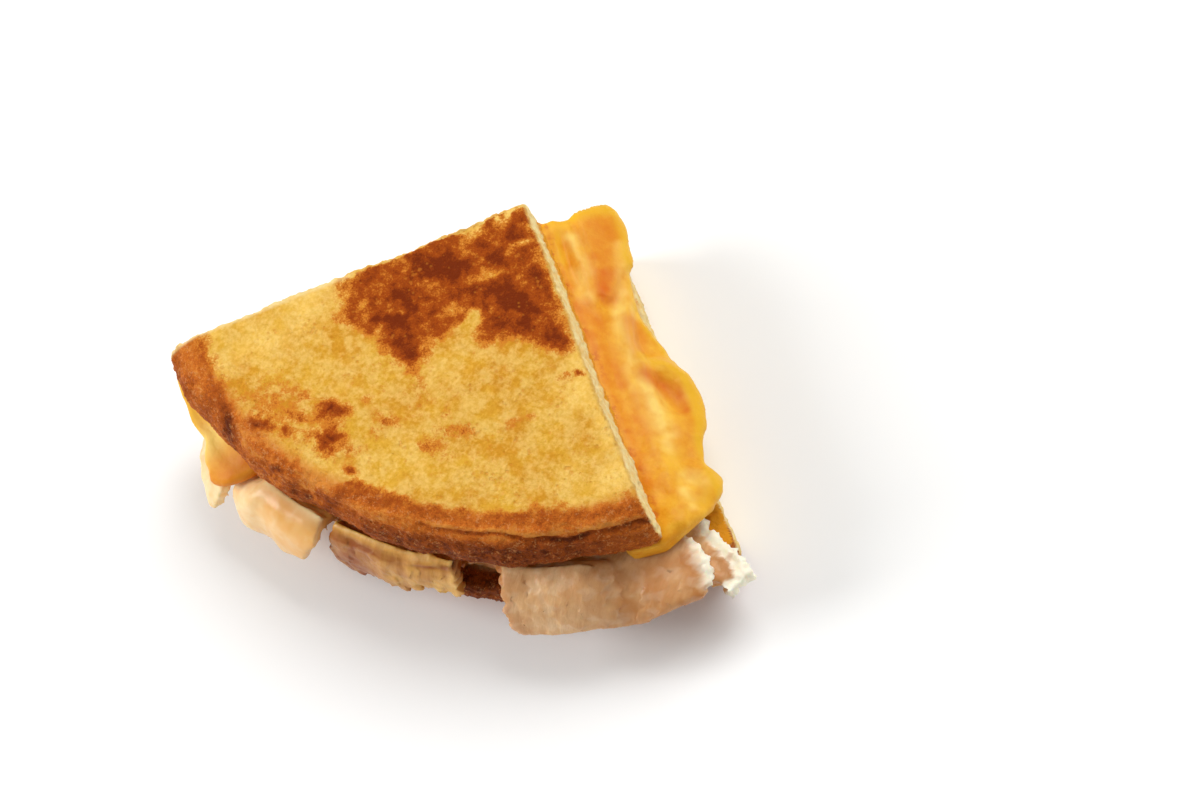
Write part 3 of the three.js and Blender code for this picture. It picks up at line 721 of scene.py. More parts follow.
def makeSlice(values, tip, grilledUp, seed, material):
    low, high = [corner.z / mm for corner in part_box(values["node"])]
    skin = sliceBody(values, tip, low, high, grilledUp, seed)
    obj = objectFrom("toast" + ("Top" if grilledUp else "Bottom"), skin)
    makeEven(obj, slices["voxel"], 2)
    points, normals = pointsOf(obj), normalsOf(obj)
    at = placesIn(points, tip, values["bulge"])
    # height runs from 0 at the fresh inner face to 1 at the grilled one, and upward is towards that face
    height = (points[:, 2] - low) / (high - low)
    at["height"] = height if grilledUp else 1 - height
    at["upward"] = normals[:, 2] * (1 if grilledUp else -1)
    crumb, side, grilled, onRight = sliceParts(normals, at)
    lift = sliceRelief(points, crumb, side, grilled, seed)
    brown = np.maximum(faceBrowning(points, at, values) * (1 - 0.7 * side), crustBrowning(points, at))
    # spots that reach the crust darken it too
    for x, y, length, width, turn, strength in values["spots"]:
        deep = strength * side * np.exp(-((at["arm"] - (x, y)) ** 2).sum(1) / (length * width))
        brown += 0.5 * np.maximum(deep, 0)
    if "crease" in values:
        # painted shade in the crease and a painted highlight on its lip, added to the browning
        creased, creaseShadeAndLipHighlight = creaseRound(values, at, side)
        lift += creased
        brown += creaseShadeAndLipHighlight
    # painted glow: the face is lighter towards its cuts, unevenly
    light = 0.7 * smooth(at["inLeft"], 15, 3) + 0.6 * smooth(at["inRight"], 12, 2)
    light = grilled * np.clip(light + 0.5 * roughness(points, 8, 3, 25) - 0.1, 0, 1)
    smear = smearedCheese(values, points, at, onRight)
    lift += values["smearThickness"] * smear
    points += normals * lift[:, None]
    if not grilledUp:
        points[:, 2] = np.maximum(points[:, 2], low)
    setPoints(obj, points)
    toastedRim = np.maximum(0.8 * smooth(at["height"], 0.9, 0.97), smooth(at["inCrust"], 1.3, 0.5))
    toastedRim *= smooth(at["upward"], -0.4, 0)
    leftRim = 0.8 * smooth(at["inLeft"], 2.0, 1.2) * smooth(at["distance"], 32, 40)
    paint(obj, brown=brown * (1 - 0.8 * crumb), crumb=np.maximum(crumb * (1 - toastedRim), leftRim),
          light=light, crust=side, smear=smear)
    finishPiece(obj, material, values["node"])


toast = toastMaterial("toastedBread", toastLook)
makeSlice(bottomSlice, bottomTip, False, 2, toast)
makeSlice(topSlice, topTip, True, 1, toast)

# Layers between the slices, from the bottom slice up, in mm
layers = {"gap": 0.3, "turkey": 3.3, "cheese": 4.6}
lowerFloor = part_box("bread_bottom")[1].z / mm + layers["gap"]
upperFloor = lowerFloor + layers["turkey"] + layers["gap"]
cheeseFloor = upperFloor + layers["turkey"] + layers["gap"]

# Falling curves for the edges of cheese and turkey: distance out and height.
curves = {
    "flat": [(0, 0), (10, 0)],
    "overhang": [(0, 0), (2.6, -0.5), (5.2, -2.4), (7.3, -6), (8.6, -10.5), (9.2, -14.5)],
    "hanging": [(0, 0), (1.3, -0.6), (2.4, -2.8), (3, -6.4), (3.2, -10.4), (3, -14)],
    "tongue": [(0, 0), (3.4, -0.3), (6.6, -2.2), (9, -5.6), (10.6, -10), (11, -14)],
    "fold": [(0, 0), (2.6, -0.4), (4.8, -2.6), (6, -6.6), (6.5, -11), (6.6, -15)],
    "drape": [(0, 0), (3.4, -0.7), (6.6, -2.8), (9.4, -4.6), (11.8, -6.4), (13.4, -9.4), (13.8, -13)],
}
cutReach = 0.02   # share of the falling curve left where an edge is cut off flat
cutNose = 0.1     # how far a flat edge is rounded, in mm


# a run of edge points: where the sheet leaves the sandwich, its way out, and how it falls from there
def edgeRun(at, out, curve="flat", reach=cutReach, fall=1.0, blunt=0.0, swell=None):
    count = len(at)
    fill = lambda value: np.broadcast_to(np.asarray(value, float), (count,)).copy()
    return {"at": at, "out": np.broadcast_to(out, at.shape).copy(), "curve": curve, "reach": fill(reach),
            "fall": fill(fall), "blunt": fill(blunt), "swell": swell or (lambda along: np.zeros(count))}


def line(start, end, count):
    return start + (end - start) * np.linspace(0, 1, count + 2)[1:-1, None]


# a value round the crust: given as a number, as (angle, value) pairs or as a function of the angle
def roundCrust(value, angle):
    if callable(value):
        return value(angle)
    return through(value, angle) if isinstance(value, list) else value


def crustRun(start, end, count, inset, curve, swell=None, **values):
    angle = np.linspace(start, end, count)
    values = {key: roundCrust(value, angle) for key, value in values.items()}
    at = topTip + heading(angle) * (crustDistance(angle) - roundCrust(inset, angle))[:, None]
    return edgeRun(at, heading(angle), curve, swell=swell and (lambda along: swell(angle, along)), **values)


# a sheet from its middle out to its edge and down its flaps; rise lifts it at a place in plan
def sheetSkin(runs, middle, low, thickness, flap, steps, rise=None):
    level = low + thickness / 2
    shares = (0.3, 0.6, 0.9, 1)   # rings of the flat part, from the middle out
    rise = rise or (lambda place: np.zeros(len(place)))
    at = np.concatenate([run["at"] for run in runs])

    def flat(share, side):
        place = middle + (at - middle) * share
        return np.column_stack([place, level + rise(place) + side * thickness / 2])

    def falling(step, side, past=0.0):
        rings = []
        for run in runs:
            along = run["reach"] * step / steps
            place, way = alongCurve(curves[run["curve"]], along)
            way = way * np.stack([np.ones(len(way)), run["fall"]], 1)
            way /= np.linalg.norm(way, axis=1)[:, None]
            fade = min(1, step / (steps * 0.4))
            half = (thickness + (flap - thickness) * run["blunt"] * fade) / 2
            across = side * half + run["swell"](along) * fade
            forward = past * (cutNose + (half - cutNose) * run["blunt"])
            outward = place[:, 0] - way[:, 1] * across + way[:, 0] * forward
            upward = place[:, 1] * run["fall"] + way[:, 0] * across + way[:, 1] * forward
            spot = run["at"] + run["out"] * outward[:, None]
            rings.append(np.column_stack([spot, level + rise(run["at"]) + upward]))
        return np.concatenate(rings)

    down = [falling(step, -1) for step in range(1, steps + 1)]
    up = [falling(step, 1) for step in range(steps, 0, -1)]
    nose = [falling(steps, side, past) for side, past in ((-0.75, 0.55), (0, 0.85), (0.75, 0.55))]
    rings = [flat(s, -1) for s in shares] + down + nose + up + [flat(s, 1) for s in reversed(shares)]
    return skinFromRings(rings)


# Turkey. The upper layer rises towards the crust where no cheese lies over it.
def upperRise(place):
    at = placesIn(place, topTip)
    bare = through([(-27, 0), (-22, 1), (32, 1), (40, 0)], at["angle"])
    return 0.88 * layers["cheese"] * bare * smooth(at["inCrust"], 5, 1)


# The upper layer is four slices side by side; each has its span of crust in degrees, its start from the
# tip, the thickness of its flap, how the flap falls, and its look. Lists are (angle, value) pairs.
upperTurkey = {
    "turkey_edge": {
        "from": -46, "to": -29.1, "start": 1, "flap": 2, "curve": "tongue", "look": "cream",
        "relief": {"fibres": 0.03, "lumps": 0.2, "folds": 0.1, "frayed": 0.3},
        "inset": [(-42, 1.2), (-36, 1.6), (-31, 1)],
        "reach": [(-46, 0.03), (-41, 0.06), (-37.5, 0.14), (-35, 0.36), (-33, 0.52), (-30.6, 0.68),
                  (-29, 0.6)],
        "swell": lambda a, along: 0.5 * bump(a, -36, 3)},
    "turkey_fold": {
        "from": -28.3, "to": -10.8, "start": 9, "flap": 2.5, "curve": "fold", "look": "cream",
        "blunt": [(-28, 0.4), (-20, 0.5), (-14, 1.3), (-10.8, 2.2)],
        "relief": {"fibres": 0, "lumps": 0.07, "folds": 0.04, "frayed": 0.1},
        "inset": 1.6,
        "reach": [(-28.6, 0.5), (-26.5, 0.72), (-19, 0.86), (-14, 0.7), (-10.8, 0.35)],
        "swell": lambda a, along: (1.2 * bump(a, -25, 3.6) * smooth(along, 0, 0.3)
                                   - 0.8 * bump(a, -20.5, 2.4) * along)},
    "turkey_frill": {
        "from": -9.9, "to": 12.2, "start": 9, "flap": 2.4, "curve": "hanging", "look": "shreds",
        "relief": {"fibres": 0.08, "lumps": 0.25, "folds": 0.2, "frayed": 0.6},
        "inset": 2.4,
        "reach": lambda a: (through([(-10, 0.92), (-5, 0.88), (0, 0.72), (10, 0.6)], a)
                            + 0.05 * np.sin(a * 0.7) + 0.04 * np.sin(a * 2.9 + 1)),
        "swell": lambda a, along: 0.5 * np.sin(a * 0.62 + 1) * np.sin(a * 0.23 + 2) * along},
    "turkey_slab": {
        "from": 12.9, "to": 50.3, "start": 6, "flap": 3, "curve": "overhang", "look": "roast",
        "relief": {"fibres": 0.06, "lumps": 0.2, "folds": 0.06, "frayed": 0.6},
        "inset": [(17, 5), (20.5, 1.9), (40, 1.2), (47, 0.6)],
        "reach": [(19, 0.03), (21.5, 0.72), (34, 0.68), (42, 0.66), (47, 0.62), (50.3, 0.4)],
        "fall": [(34, 1), (44, 0.3)],
        "elbow": (48.2, 66),    # angle and distance where the right edge turns out past the corner
        "swell": lambda a, along: 0.4 * np.sin(a * 0.5) * along},
}


def upperTurkeySkin(piece):
    span = piece["to"] - piece["from"]
    crust = crustRun(piece["from"], piece["to"], int(span * 10), piece["inset"], piece["curve"],
                     piece["swell"], reach=piece["reach"], fall=piece.get("fall", 1),
                     blunt=piece.get("blunt", 1))
    along = heading((piece["from"] + piece["to"]) / 2)
    start = topTip + along * piece["start"]
    outLeft, outRight = heading(piece["from"] - 90), heading(piece["to"] + 90)
    last = crust["at"][-1]
    if "elbow" in piece:
        angle, distance = piece["elbow"]
        turn = topTip + heading(angle) * distance
        right = np.concatenate([line(last, turn, 20), line(turn, start, 80)])
    else:
        right = line(last, start, 80)
    runs = [edgeRun(start[None], -along), edgeRun(line(start, crust["at"][0], 80), outLeft), crust,
            edgeRun(right, outRight)]
    middle = topTip + along * plan["crustMiddle"] * 0.6
    return sheetSkin(runs, middle, upperFloor, layers["turkey"], piece["flap"], 24, upperRise)


# angle, how much of the darker tone a flap has: painted shade where it lies under the crust, and browned meat
upperTurkeyShadeAndBrowning = [(-46, 0), (-28, 0), (-25, 0.15), (-21, 0.5), (-16, 0.8), (-11, 0.95), (-9.5, 0.8),
                   (-4, 0.85), (1, 0.4), (5, 0.1), (12, 0), (13, 0.6), (20, 0.5), (27, 0.25), (34, 0.45),
                   (40, 0.7), (50, 0.7)]

turkeyVoxel = 0.42
# the thin slices that show at the cuts: how unevenly they stand out, their grooves, how far all sit back
leaves = {"thickness": 1.6, "stagger": 0.9, "groove": 0.5, "back": 0.25}


# at the cuts: the grooves between the thin slices of a stack, and how far each one stands out
def leafEdges(points, seed):
    level = points[:, 2] / leaves["thickness"] + 0.5 * roughness(points * (1, 1, 0), 14, 2, seed + 3)
    leaf = np.floor(level)
    groove = bump(level - leaf - 0.5, 0.5, 0.28) + bump(level - leaf - 0.5, -0.5, 0.28)
    return groove, roughness(np.column_stack([points[:, :2] / 7, leaf * 3.7]), 1, 2, seed + 4)


def makeTurkey(node, skin, tornEdge, material, relief, seed):
    obj = objectFrom("turkey" + node.split("_")[1].title(), skin)
    makeEven(obj, turkeyVoxel, 2)
    points, normals = pointsOf(obj), normalsOf(obj)
    at = placesIn(points, topTip)
    around = np.column_stack([at["angle"] * 1.2, at["distance"] - points[:, 2], points[:, 2] * 0.2])
    fibres = roughness(around, (0.9, 7, 7), 2, seed)
    folds = roughness(around, (2.6, 16, 16), 2, seed + 5)
    lumps = roughness(points, 5, 3, seed + 1)
    shown = smooth(at["inCrust"], 2, -1)
    torn = tornEdge(points, at)
    lift = shown * (relief["fibres"] * fibres + relief["lumps"] * lumps + relief["folds"] * folds)
    lift += torn * 0.5 * roughness(points, 1.0, 3, seed + 2)
    cut = smooth(np.hypot(normals[:, 0], normals[:, 1]), 0.35, 0.8) * (1 - shown) * (1 - torn)
    groove, stagger = leafEdges(points, seed)
    lift += cut * (leaves["stagger"] * stagger - leaves["groove"] * groove - leaves["back"])
    points += normals * lift[:, None]
    ragged = shown * relief["frayed"] * roughness(points, 1.7, 3, seed + 7) / at["distance"]
    points[:, :2] += ragged[:, None] * np.column_stack([-at["arm"][:, 1], at["arm"][:, 0]])
    setPoints(obj, points)
    soften(obj, 5 if relief["fibres"] < 0.02 else 1)
    # painted shade: the recessed cut sides under the bread, the grooves between the thin slices and the
    # hollows of the folds take the darker tone
    recessShade = cut * smooth(np.minimum(at["inLeft"], at["inRight"]), 4, 9)
    torn = np.maximum(torn, (cut - recessShade) * np.clip(0.35 + 0.5 * stagger, 0, 0.7))
    deep = through(upperTurkeyShadeAndBrowning, at["angle"]) * shown + 0.3 * smooth(folds, 0, -0.7) * shown
    deep += 0.15 * shown * lumps + 0.9 * cut * groove + recessShade
    paint(obj, torn=torn, deep=np.clip(deep, 0, 1))
    finishPiece(obj, material, node)


# The lower turkey's torn end, as distance out of the top slice's right cut and distance from its tip
lowerTurkey = {
    "tornEnd": [(6.9, 79.7), (9.6, 78.6), (12.7, 77.3), (11.5, 76.4), (12.4, 75.2), (11.3, 73.3),
                (11.1, 71.5), (9.3, 70.4), (9.2, 67.6), (7.6, 66.2), (7.8, 63.5), (6.8, 61), (5.4, 58.5),
                (4.4, 50), (3.6, 0.2)],
    "crustInset": [(-46, 1.5), (-30, 6), (30, 5), (42, -0.6)],
    "crustReach": [(34, 0.04), (43, 0.2), (50.3, 0.28), (50.9, 0.48)],
    "relief": {"fibres": 0.1, "lumps": 0.25, "folds": 0.1, "frayed": 0.5},
}


def lowerTurkeySkin():
    crust = crustRun(-46, 50.9, 480, lowerTurkey["crustInset"], "overhang", reach=lowerTurkey["crustReach"],
                     fall=[(34, 0.4), (50, 0.15)], blunt=lambda a: smooth(a, 34, 42))
    torn = [topTip + outOfRight * s + alongRight * t for s, t in lowerTurkey["tornEnd"]]
    right = np.concatenate([line(before, after, max(4, int(np.linalg.norm(after - before) * 3)))
                            for before, after in zip(torn[:-1], torn[1:])])
    start = bottomTip + alongLeft * 7
    runs = [edgeRun(start[None], outOfLeft), edgeRun(line(start, crust["at"][0], 120), outOfLeft), crust,
            edgeRun(right - 0.5 * outOfRight, outOfRight, blunt=0.15)]
    return sheetSkin(runs, topTip + heading(6) * 40, lowerFloor, layers["turkey"], layers["turkey"] * 0.8, 14)


# white and fibrous towards the torn end
def lowerTear(points, at):
    places = np.column_stack([at["arm"] @ outOfRight, at["arm"] @ alongRight])
    away = distanceToPath(places, lowerTurkey["tornEnd"])[0]
    away += 0.7 * roughness(points, 2, 3, 31)
    return smooth(away, 2.9, 1.8) * smooth(places[:, 1], 57, 60)


def distanceToPath(places, path):
    path = np.array(path, float)
    best, share = np.full(len(places), 1e9), np.zeros(len(places))
    for i, (start, end) in enumerate(zip(path[:-1], path[1:])):
        way = end - start
        t = np.clip(((places - start) @ way) / (way @ way), 0, 1)
        away = np.linalg.norm(places - start - t[:, None] * way, axis=1)
        share = np.where(away < best, (i + t) / (len(path) - 1), share)
        best = np.minimum(best, away)
    return best, share


turkeyMaterials = {name: turkeyMaterial(name + "Turkey", look) for name, look in turkeyLooks.items()}
makeTurkey("turkey_lower", lowerTurkeySkin(), lowerTear, turkeyMaterials["roast"], lowerTurkey["relief"], 3)


# the upper slices are a little frayed all over, and white where the last one is torn at the corner
def upperTear(points, at):
    frayed = 0.1 * smooth(roughness(points, 2.5, 3, 4), 0.1, 0.7)
    corner = smooth(at["angle"] + 0.5 * roughness(points, 2, 3, 6), 47.6, 50) * (at["inCrust"] < 4)
    return np.maximum(frayed, corner)


for seed, (node, piece) in enumerate(upperTurkey.items(), 10):
    material = turkeyMaterials[piece["look"]]
    makeTurkey(node, upperTurkeySkin(piece), upperTear, material, piece["relief"], seed)

# Cheese. Places on the drape are given as distance out of the top slice's right cut and from its tip.
cheeseShape = {
    "end": 66.5,   # of the drape, from the tip
    "flap": 3,     # thickness of what hangs
    "voxel": 0.46,
    "leftRun": {"least": 0.15, "swing": 0.1, "waves": 17},
    # angle, and how far inside the crust the cheese starts to fall, then its share of the falling curve
    "crustInset": [(-46, 0.5), (-42, 0.3), (-38, 0.2), (-35, 0.8), (-27.5, 1.4), (-24, 8.2), (37, 8.2),
                   (41, 1.6), (46, 1.4)],
    "crustReach": [(-46, 0.04), (-42, 0.06), (-38, 0.1), (-35, 0.12), (-31.5, 0.3), (-29.5, 0.4), (-26, 0.26),
                   (-24, cutReach)],
    # distance from the tip, share of the falling curve
    "reach": [(0, 0.6), (1.5, 0.68), (4, 0.71), (9, 0.63), (13, 0.55), (18, 0.52), (22, 0.54), (26, 0.6),
              (30, 0.68), (34, 0.74), (40, 0.78), (46, 0.72), (51, 0.6), (55, 0.56), (59, 0.64), (62, 0.58),
              (64.5, 0.45), (66.5, 0.3)],
    # distance from the tip, how far out the thin rim of the drape starts
    "rim": [(-2, 12), (2, 12.4), (10, 11), (18, 9.6), (24, 9.4), (30, 11), (38, 12.4), (46, 12), (52, 10.4),
            (60, 10.6)],
    # height, falloff, and the outline of a raised or sunken part
    "mounds": [
        (1.2, 1.5, [(5.2, -2), (5.4, 3.5), (5.4, 9), (4.6, 16.5), (5.8, 18.4), (7.2, 17.8), (8.7, 15.5),
                    (10.4, 12.6), (14, 10), (15.5, 3), (15.5, -4)]),
        (-0.7, 1.8, [(9.6, 20), (8.8, 24), (8.3, 28), (8.8, 31.2), (13.6, 32), (13.6, 20)]),
        (0.5, 2.0, [(8.5, 55), (13.5, 56), (13, 62), (9.5, 63.5)]),
        (0.6, 2.2, [(8.6, 43), (12, 45), (11.6, 50), (8.8, 51)]),
    ],
    # height, half-width, and the line of a ridge or a valley
    "ridges": [
        (0.4, 1.0, [(1.7, 1), (0.9, 7.3), (0.9, 13), (1.2, 18)]),
        (-0.6, 0.9, [(2.7, 2), (2.1, 9), (1.9, 15)]),
        (0.7, 1.0, [(4.1, 1), (4.2, 7.2), (4.2, 13), (3.6, 17.4), (4.3, 21)]),
        (1.2, 1.2, [(10.8, 13.1), (9.1, 18.3), (7.9, 22.6), (6.9, 28.1), (7.2, 31.4), (7.5, 36), (7.4, 42),
                    (7.2, 50)]),
        (1.5, 1.8, [(8.1, 32.7), (10.6, 34.0), (12.7, 36.2), (13.8, 40.2), (13.7, 44.6), (12.6, 49.5)]),
        (-0.35, 2, [(7.6, 35.4), (8.9, 38.3), (10.4, 40.6), (11.8, 43.6)]),
        (-0.6, 1.5, [(4.0, 20), (3.8, 29), (3, 35), (2.8, 43), (2.6, 52)]),
        (-0.5, 1.2, [(9, 52), (9.6, 56), (8.2, 60)]),
    ],
    # strength, half-width, and the line of a painted streak
    # painted shade in the hollows and on the shaded sides of ridges and lips
    "deep": [
        (0.45, 6, [(9.7, 1.5), (8.5, 6.6), (7.6, 11), (6.9, 15)]),
        (0.75, 3.4, [(7.4, 12), (6.9, 15.4), (6.5, 17)]),
        (0.45, 3, [(2.4, 18), (2.6, 21.8), (2.4, 25), (2.4, 30), (2.6, 36)]),
        (0.5, 2.4, [(8.4, 23), (8, 27.4), (8, 31)]),
        (0.7, 2.8, [(7.8, 34.6), (9.4, 37.3), (11.2, 39.4), (12, 43)]),
        (0.3, 2, [(2.9, 4.8), (2.1, 9.4), (1.4, 13.5)]),
        (0.4, 2, [(0.7, 18), (1.3, 40), (0.9, 52), (0.6, 60)]),
        (0.3, 3, [(4.2, 39), (4.1, 43), (4, 48)]), (0.3, 4, [(10.2, 48), (10.2, 52)])],
    # painted highlight along the ridges
    "pale": [
        (0.8, 2, [(4.1, 3.5), (4.3, 7.9), (5, 12)]), (0.8, 2.4, [(3.1, 10.9), (3.1, 14.7), (2.9, 17)]),
        (0.9, 2.6, [(9, 16.8), (7.8, 20), (7, 25.4), (6.7, 30), (7.1, 34), (7.3, 39), (7.4, 43.5),
                    (7.5, 48)]),
        (0.5, 3, [(5.8, 33), (6, 42), (6.2, 51)]), (0.6, 2, [(12.2, 7), (10.3, 13.7), (8.8, 16.7)]),
        (0.7, 2.6, [(7.8, 58), (10.8, 59.5)]), (0.6, 2, [(6.8, 60.5), (7.1, 64)]),
        (0.5, 2, [(10.6, 17), (9.8, 22)])],
    # painted highlight on the lit sides of rims and lips
    "yellowHighlight": [
        (0.9, 2.2, [(6.5, -1), (10.2, -2.2), (13, -2.2), (14, -0.7), (13.8, 4.4), (12.8, 9.7)]),
        (0.8, 2.2, [(8.3, 31.2), (10.7, 33.2), (13, 35), (14.4, 37.2), (14.8, 40), (14.4, 44), (13.5, 49)]),
        (0.6, 1.5, [(2.8, 1.2), (1, 4), (0.7, 8)]), (0.6, 2, [(10.6, 61.5), (8.8, 64)])],
}


def cheeseSkin():
    crust = crustRun(-46, 46, 420, cheeseShape["crustInset"], "tongue", reach=cheeseShape["crustReach"],
                     blunt=lambda a: 1.4 * smooth(-a, 24, 27), fall=[(-46, 0.4), (-36, 1)])
    end = cheeseShape["end"]
    distance = end * (1 - (np.arange(420) + 0.5) / 420)
    reach = through(cheeseShape["reach"], distance)
    lean = np.radians(12 * smooth(distance, 12, 0))[:, None]
    away = outOfRight * np.cos(lean) - alongRight * np.sin(lean)
    drape = edgeRun(topTip + alongRight * distance[:, None] - outOfRight * 0.4, away, curve="drape",
                    reach=reach, blunt=1.0, swell=lambda along: 2 * bump(distance, end, 26))
    corner = crust["at"][0]
    share = np.linspace(0, 1, 162)[1:-1]
    # along the left cut the cheese has run out a little, here more and there less
    run = cheeseShape["leftRun"]
    waves = np.sin(share * run["waves"]) + 0.6 * np.sin(share * run["waves"] * 2.3 + 1)
    oozed = (run["least"] + run["swing"] * waves) * smooth(share, 1, 0.9)
    left = edgeRun(line(topTip, corner, 160), outOfLeft, curve="hanging",
                   reach=np.maximum(oozed, cutReach), blunt=0.9)

    # edge points that turn round a corner of the sheet
    def fan(at, before, after, reaches, **values):
        share = np.linspace(0, 1, 30)[1:-1, None]
        out = before + (after - before) * share
        out /= np.linalg.norm(out, axis=1)[:, None]
        reach = np.interp(share[:, 0], np.linspace(0, 1, len(reaches) + 2)[1:-1], reaches)
        return edgeRun(at + out * 0.4, out, reach=reach, **values)

    tipFan = fan(topTip, drape["out"][-1], outOfLeft, (0.1, 0.03, 0.02), curve="drape", blunt=0.4)
    cornerFan = fan(corner, outOfLeft, alongLeft, (0.02, 0.02), blunt=0.4)
    return sheetSkin([tipFan, left, cornerFan, crust, drape], topTip + heading(0) * 38,
                     cheeseFloor, layers["cheese"], cheeseShape["flap"], 30)


# distance to an outline, positive inside it
def depthInside(places, outline):
    away = distanceToPath(places, outline + outline[:1])[0]
    inside = np.zeros(len(places), bool)
    for (x0, y0), (x1, y1) in zip(outline, outline[1:] + outline[:1]):
        crosses = (y0 > places[:, 1]) != (y1 > places[:, 1])
        reach = (x1 - x0) * (places[:, 1] - y0) / ((y1 - y0) or 1e-9) + x0
        inside ^= crosses & (places[:, 0] < reach)
    return np.where(inside, away, -away)


# how strongly a place is covered by painted streaks
def brushed(places, streaks):
    total = np.zeros(len(places))
    for strength, halfWidth, path in streaks:
        total = np.maximum(total, strength * bump(distanceToPath(places, path)[0], 0, halfWidth))
    return total


def drapePlaces(points):
    arm = points[:, :2] - topTip
    return np.column_stack([arm @ outOfRight, arm @ alongRight])


def drapeRelief(points, places):
    lift = 0.3 * roughness(points, 9, 2, 3)
    for height, falloff, outline in cheeseShape["mounds"]:
        lift += height * smooth(depthInside(places, outline), -0.4 * falloff, 0.6 * falloff)
    for height, halfWidth, path in cheeseShape["ridges"]:
        away, share = distanceToPath(places, path)
        ends = smooth(share, 0, 0.25) * smooth(share, 1, 0.75)
        lift += height * bump(away, 0, halfWidth * 1.6) * (0.35 + 0.65 * ends)
    lift += 0.3 * roughness(points, 3.4, 2, 5) * smooth(places[:, 1], 40, 56)
    return lift


# painted streaks of the drape (painted shade and painted highlight), its yellow rim of painted glow, the
# tongue at the left corner with painted shade, and crumbs along the cut
def paintCheese(obj):
    points = pointsOf(obj)
    places, at = drapePlaces(points), placesIn(points, topTip)
    streaks = {kind: brushed(places, cheeseShape[kind]) for kind in ("deep", "pale", "yellowHighlight")}
    rim = through(cheeseShape["rim"], places[:, 1])
    # painted glow on the thin rim of the drape and round the tip
    thin = smooth(places[:, 0], rim, rim + 1.6) + 0.8 * smooth(places[:, 1], 1.2, -1.2) * (places[:, 0] > 0)
    # painted light on the band beside the crust at the left corner
    thin += smooth(at["angle"], -36, -40) * smooth(at["inCrust"], 7, 3)
    thin = np.clip(np.maximum(thin, streaks["yellowHighlight"]), 0, 0.85)
    broken = 0.25 * roughness(points, 2.5, 3, 9)
    tongue = smooth(places[:, 0], -20, -30)
    # painted shade: the deep streaks, and orange on the tongue where the bread above shades it
    deep = streaks["deep"] * (1 + broken) + 0.55 * bump(at["angle"], -27.5, 6) * tongue
    # painted highlight along the ridges, and a cream patch on the tongue
    pale = np.maximum(streaks["pale"] * (0.9 + 2 * broken), 0.9 * bump(at["angle"], -34, 4.5) * tongue)
    crumbs = 0.8 * smooth(places[:, 0], 1.7, 0.5) * smooth(roughness(points, 2.6, 3, 14), 0, 0.5)
    crumbs *= (places[:, 0] > -1) * smooth(places[:, 1], 66, 64)
    paint(obj, hollow=np.clip(deep, 0, 1), thin=thin, pale=np.clip(pale, 0, 1), crumbs=crumbs)


def makeCheese(material):
    obj = objectFrom("meltedCheese", cheeseSkin())
    makeEven(obj, cheeseShape["voxel"], 4)
    points, normals = pointsOf(obj), normalsOf(obj)
    places = drapePlaces(points)
    outward = smooth(normals[:, :2] @ outOfRight * 0.6 + normals[:, 2] * 0.8, 0, 0.5)
    outward *= smooth(places[:, 0], -0.5, 1.5)
    points += normals * (outward * drapeRelief(points, places))[:, None]
    setPoints(obj, points)
    soften(obj, 4)
    paintCheese(obj)
    finishPiece(obj, material, "cheese")


makeCheese(cheeseMaterial("meltedCheese", cheeseLook))

# Camera, floor and light. The camera looks down on the sandwich from its right.
view = {
    "azimuth": 55.564, "elevation": 63.261, "roll": -31.775, "distance": 700, "lens": 110.27,
    "aim": (16.087, -20.605),   # from the top slice's tip
}


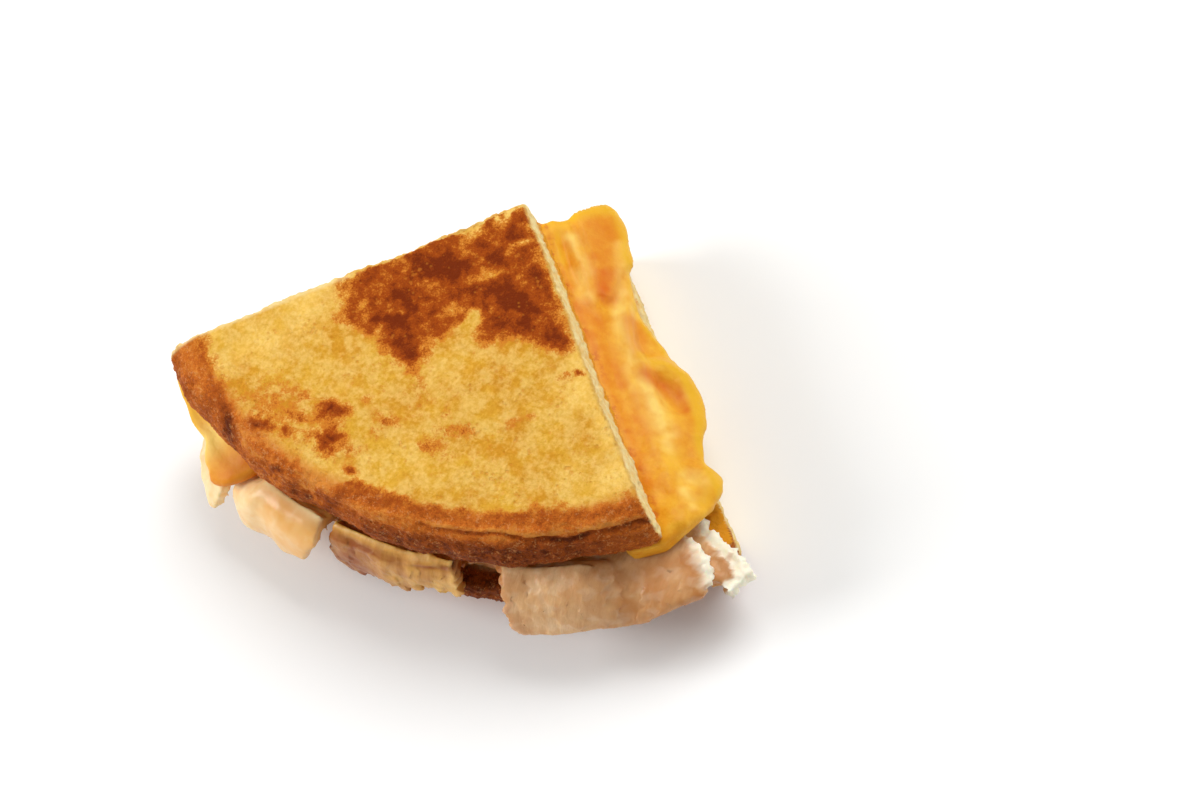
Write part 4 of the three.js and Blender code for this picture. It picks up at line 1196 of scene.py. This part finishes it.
def addCamera():
    azimuth, elevation, roll = [math.radians(view[key]) for key in ("azimuth", "elevation", "roll")]
    away = math.cos(elevation)
    back = Vector((math.sin(azimuth) * away, -math.cos(azimuth) * away, math.sin(elevation)))
    level = Vector((0, 0, 1)).cross(back).normalized()
    upright = back.cross(level)
    right = level * math.cos(roll) + upright * math.sin(roll)
    up = upright * math.cos(roll) - level * math.sin(roll)
    target = Vector((*(topTip + view["aim"]), 0)) * mm
    data = bpy.data.cameras.new("camera")
    data.lens = view["lens"]
    data.clip_start, data.clip_end = 0.05, 20
    camera = addToScene("camera", data)
    turn = Matrix((right, up, back)).transposed().to_4x4()
    camera.matrix_world = Matrix.Translation(target + back * view["distance"] * mm) @ turn
    bpy.context.scene.camera = camera
    return right, up, back, target


lights = {
    # direction as shares of the view's right, up and back; distance, size in metres; strength in watts
    "key": {"way": (0.1, 0.75, 0.65), "distance": 1.0, "size": 0.6, "power": 6.6},
    "left": {"way": (-0.95, 0.1, 0.35), "distance": 1.0, "size": 0.5, "power": 6.4},
    "right": {"way": (0.8, 0.2, 0.5), "distance": 1.0, "size": 0.5, "power": 1.0},
}
skyStrength = 0.34


def addLights(right, up, back, target):
    for name, light in lights.items():
        way = (right * light["way"][0] + up * light["way"][1] + back * light["way"][2]).normalized()
        data = bpy.data.lights.new(name, "AREA")
        data.size, data.energy = light["size"], light["power"]
        lamp = addToScene(name, data)
        turn = way.to_track_quat("Z", "Y").to_matrix().to_4x4()
        lamp.matrix_world = Matrix.Translation(target + way * light["distance"]) @ turn
    world = bpy.data.worlds.new("studio")
    world.use_nodes = True
    setSockets(world.node_tree.nodes["Background"], {"Color": (1, 1, 1, 1), "Strength": skyStrength})
    bpy.context.scene.world = world


def addFloor():
    size = 3.0   # half the floor's width in metres
    corners = [(-size, -size, 0), (size, -size, 0), (size, size, 0), (-size, size, 0)]
    mesh = bpy.data.meshes.new("floor")
    mesh.from_pydata(corners, [], [(0, 1, 2, 3)])
    floor = addToScene("floor", mesh)
    material, tree, shader, place = startMaterial("paleFloor")
    cloud = mottled(tree, place, 0.006, 0.5, (0.94, 0.94, 0.93, 1), (0.95, 0.95, 0.94, 1))
    plug(tree, shader.inputs["Base Color"], cloud["Color"])
    setSockets(shader, {"Roughness": 0.7})
    mesh.materials.append(material)


addLights(*addCamera())
addFloor()
print("camera, lights and floor")
bpy.context.scene.view_settings.view_transform = "Standard"
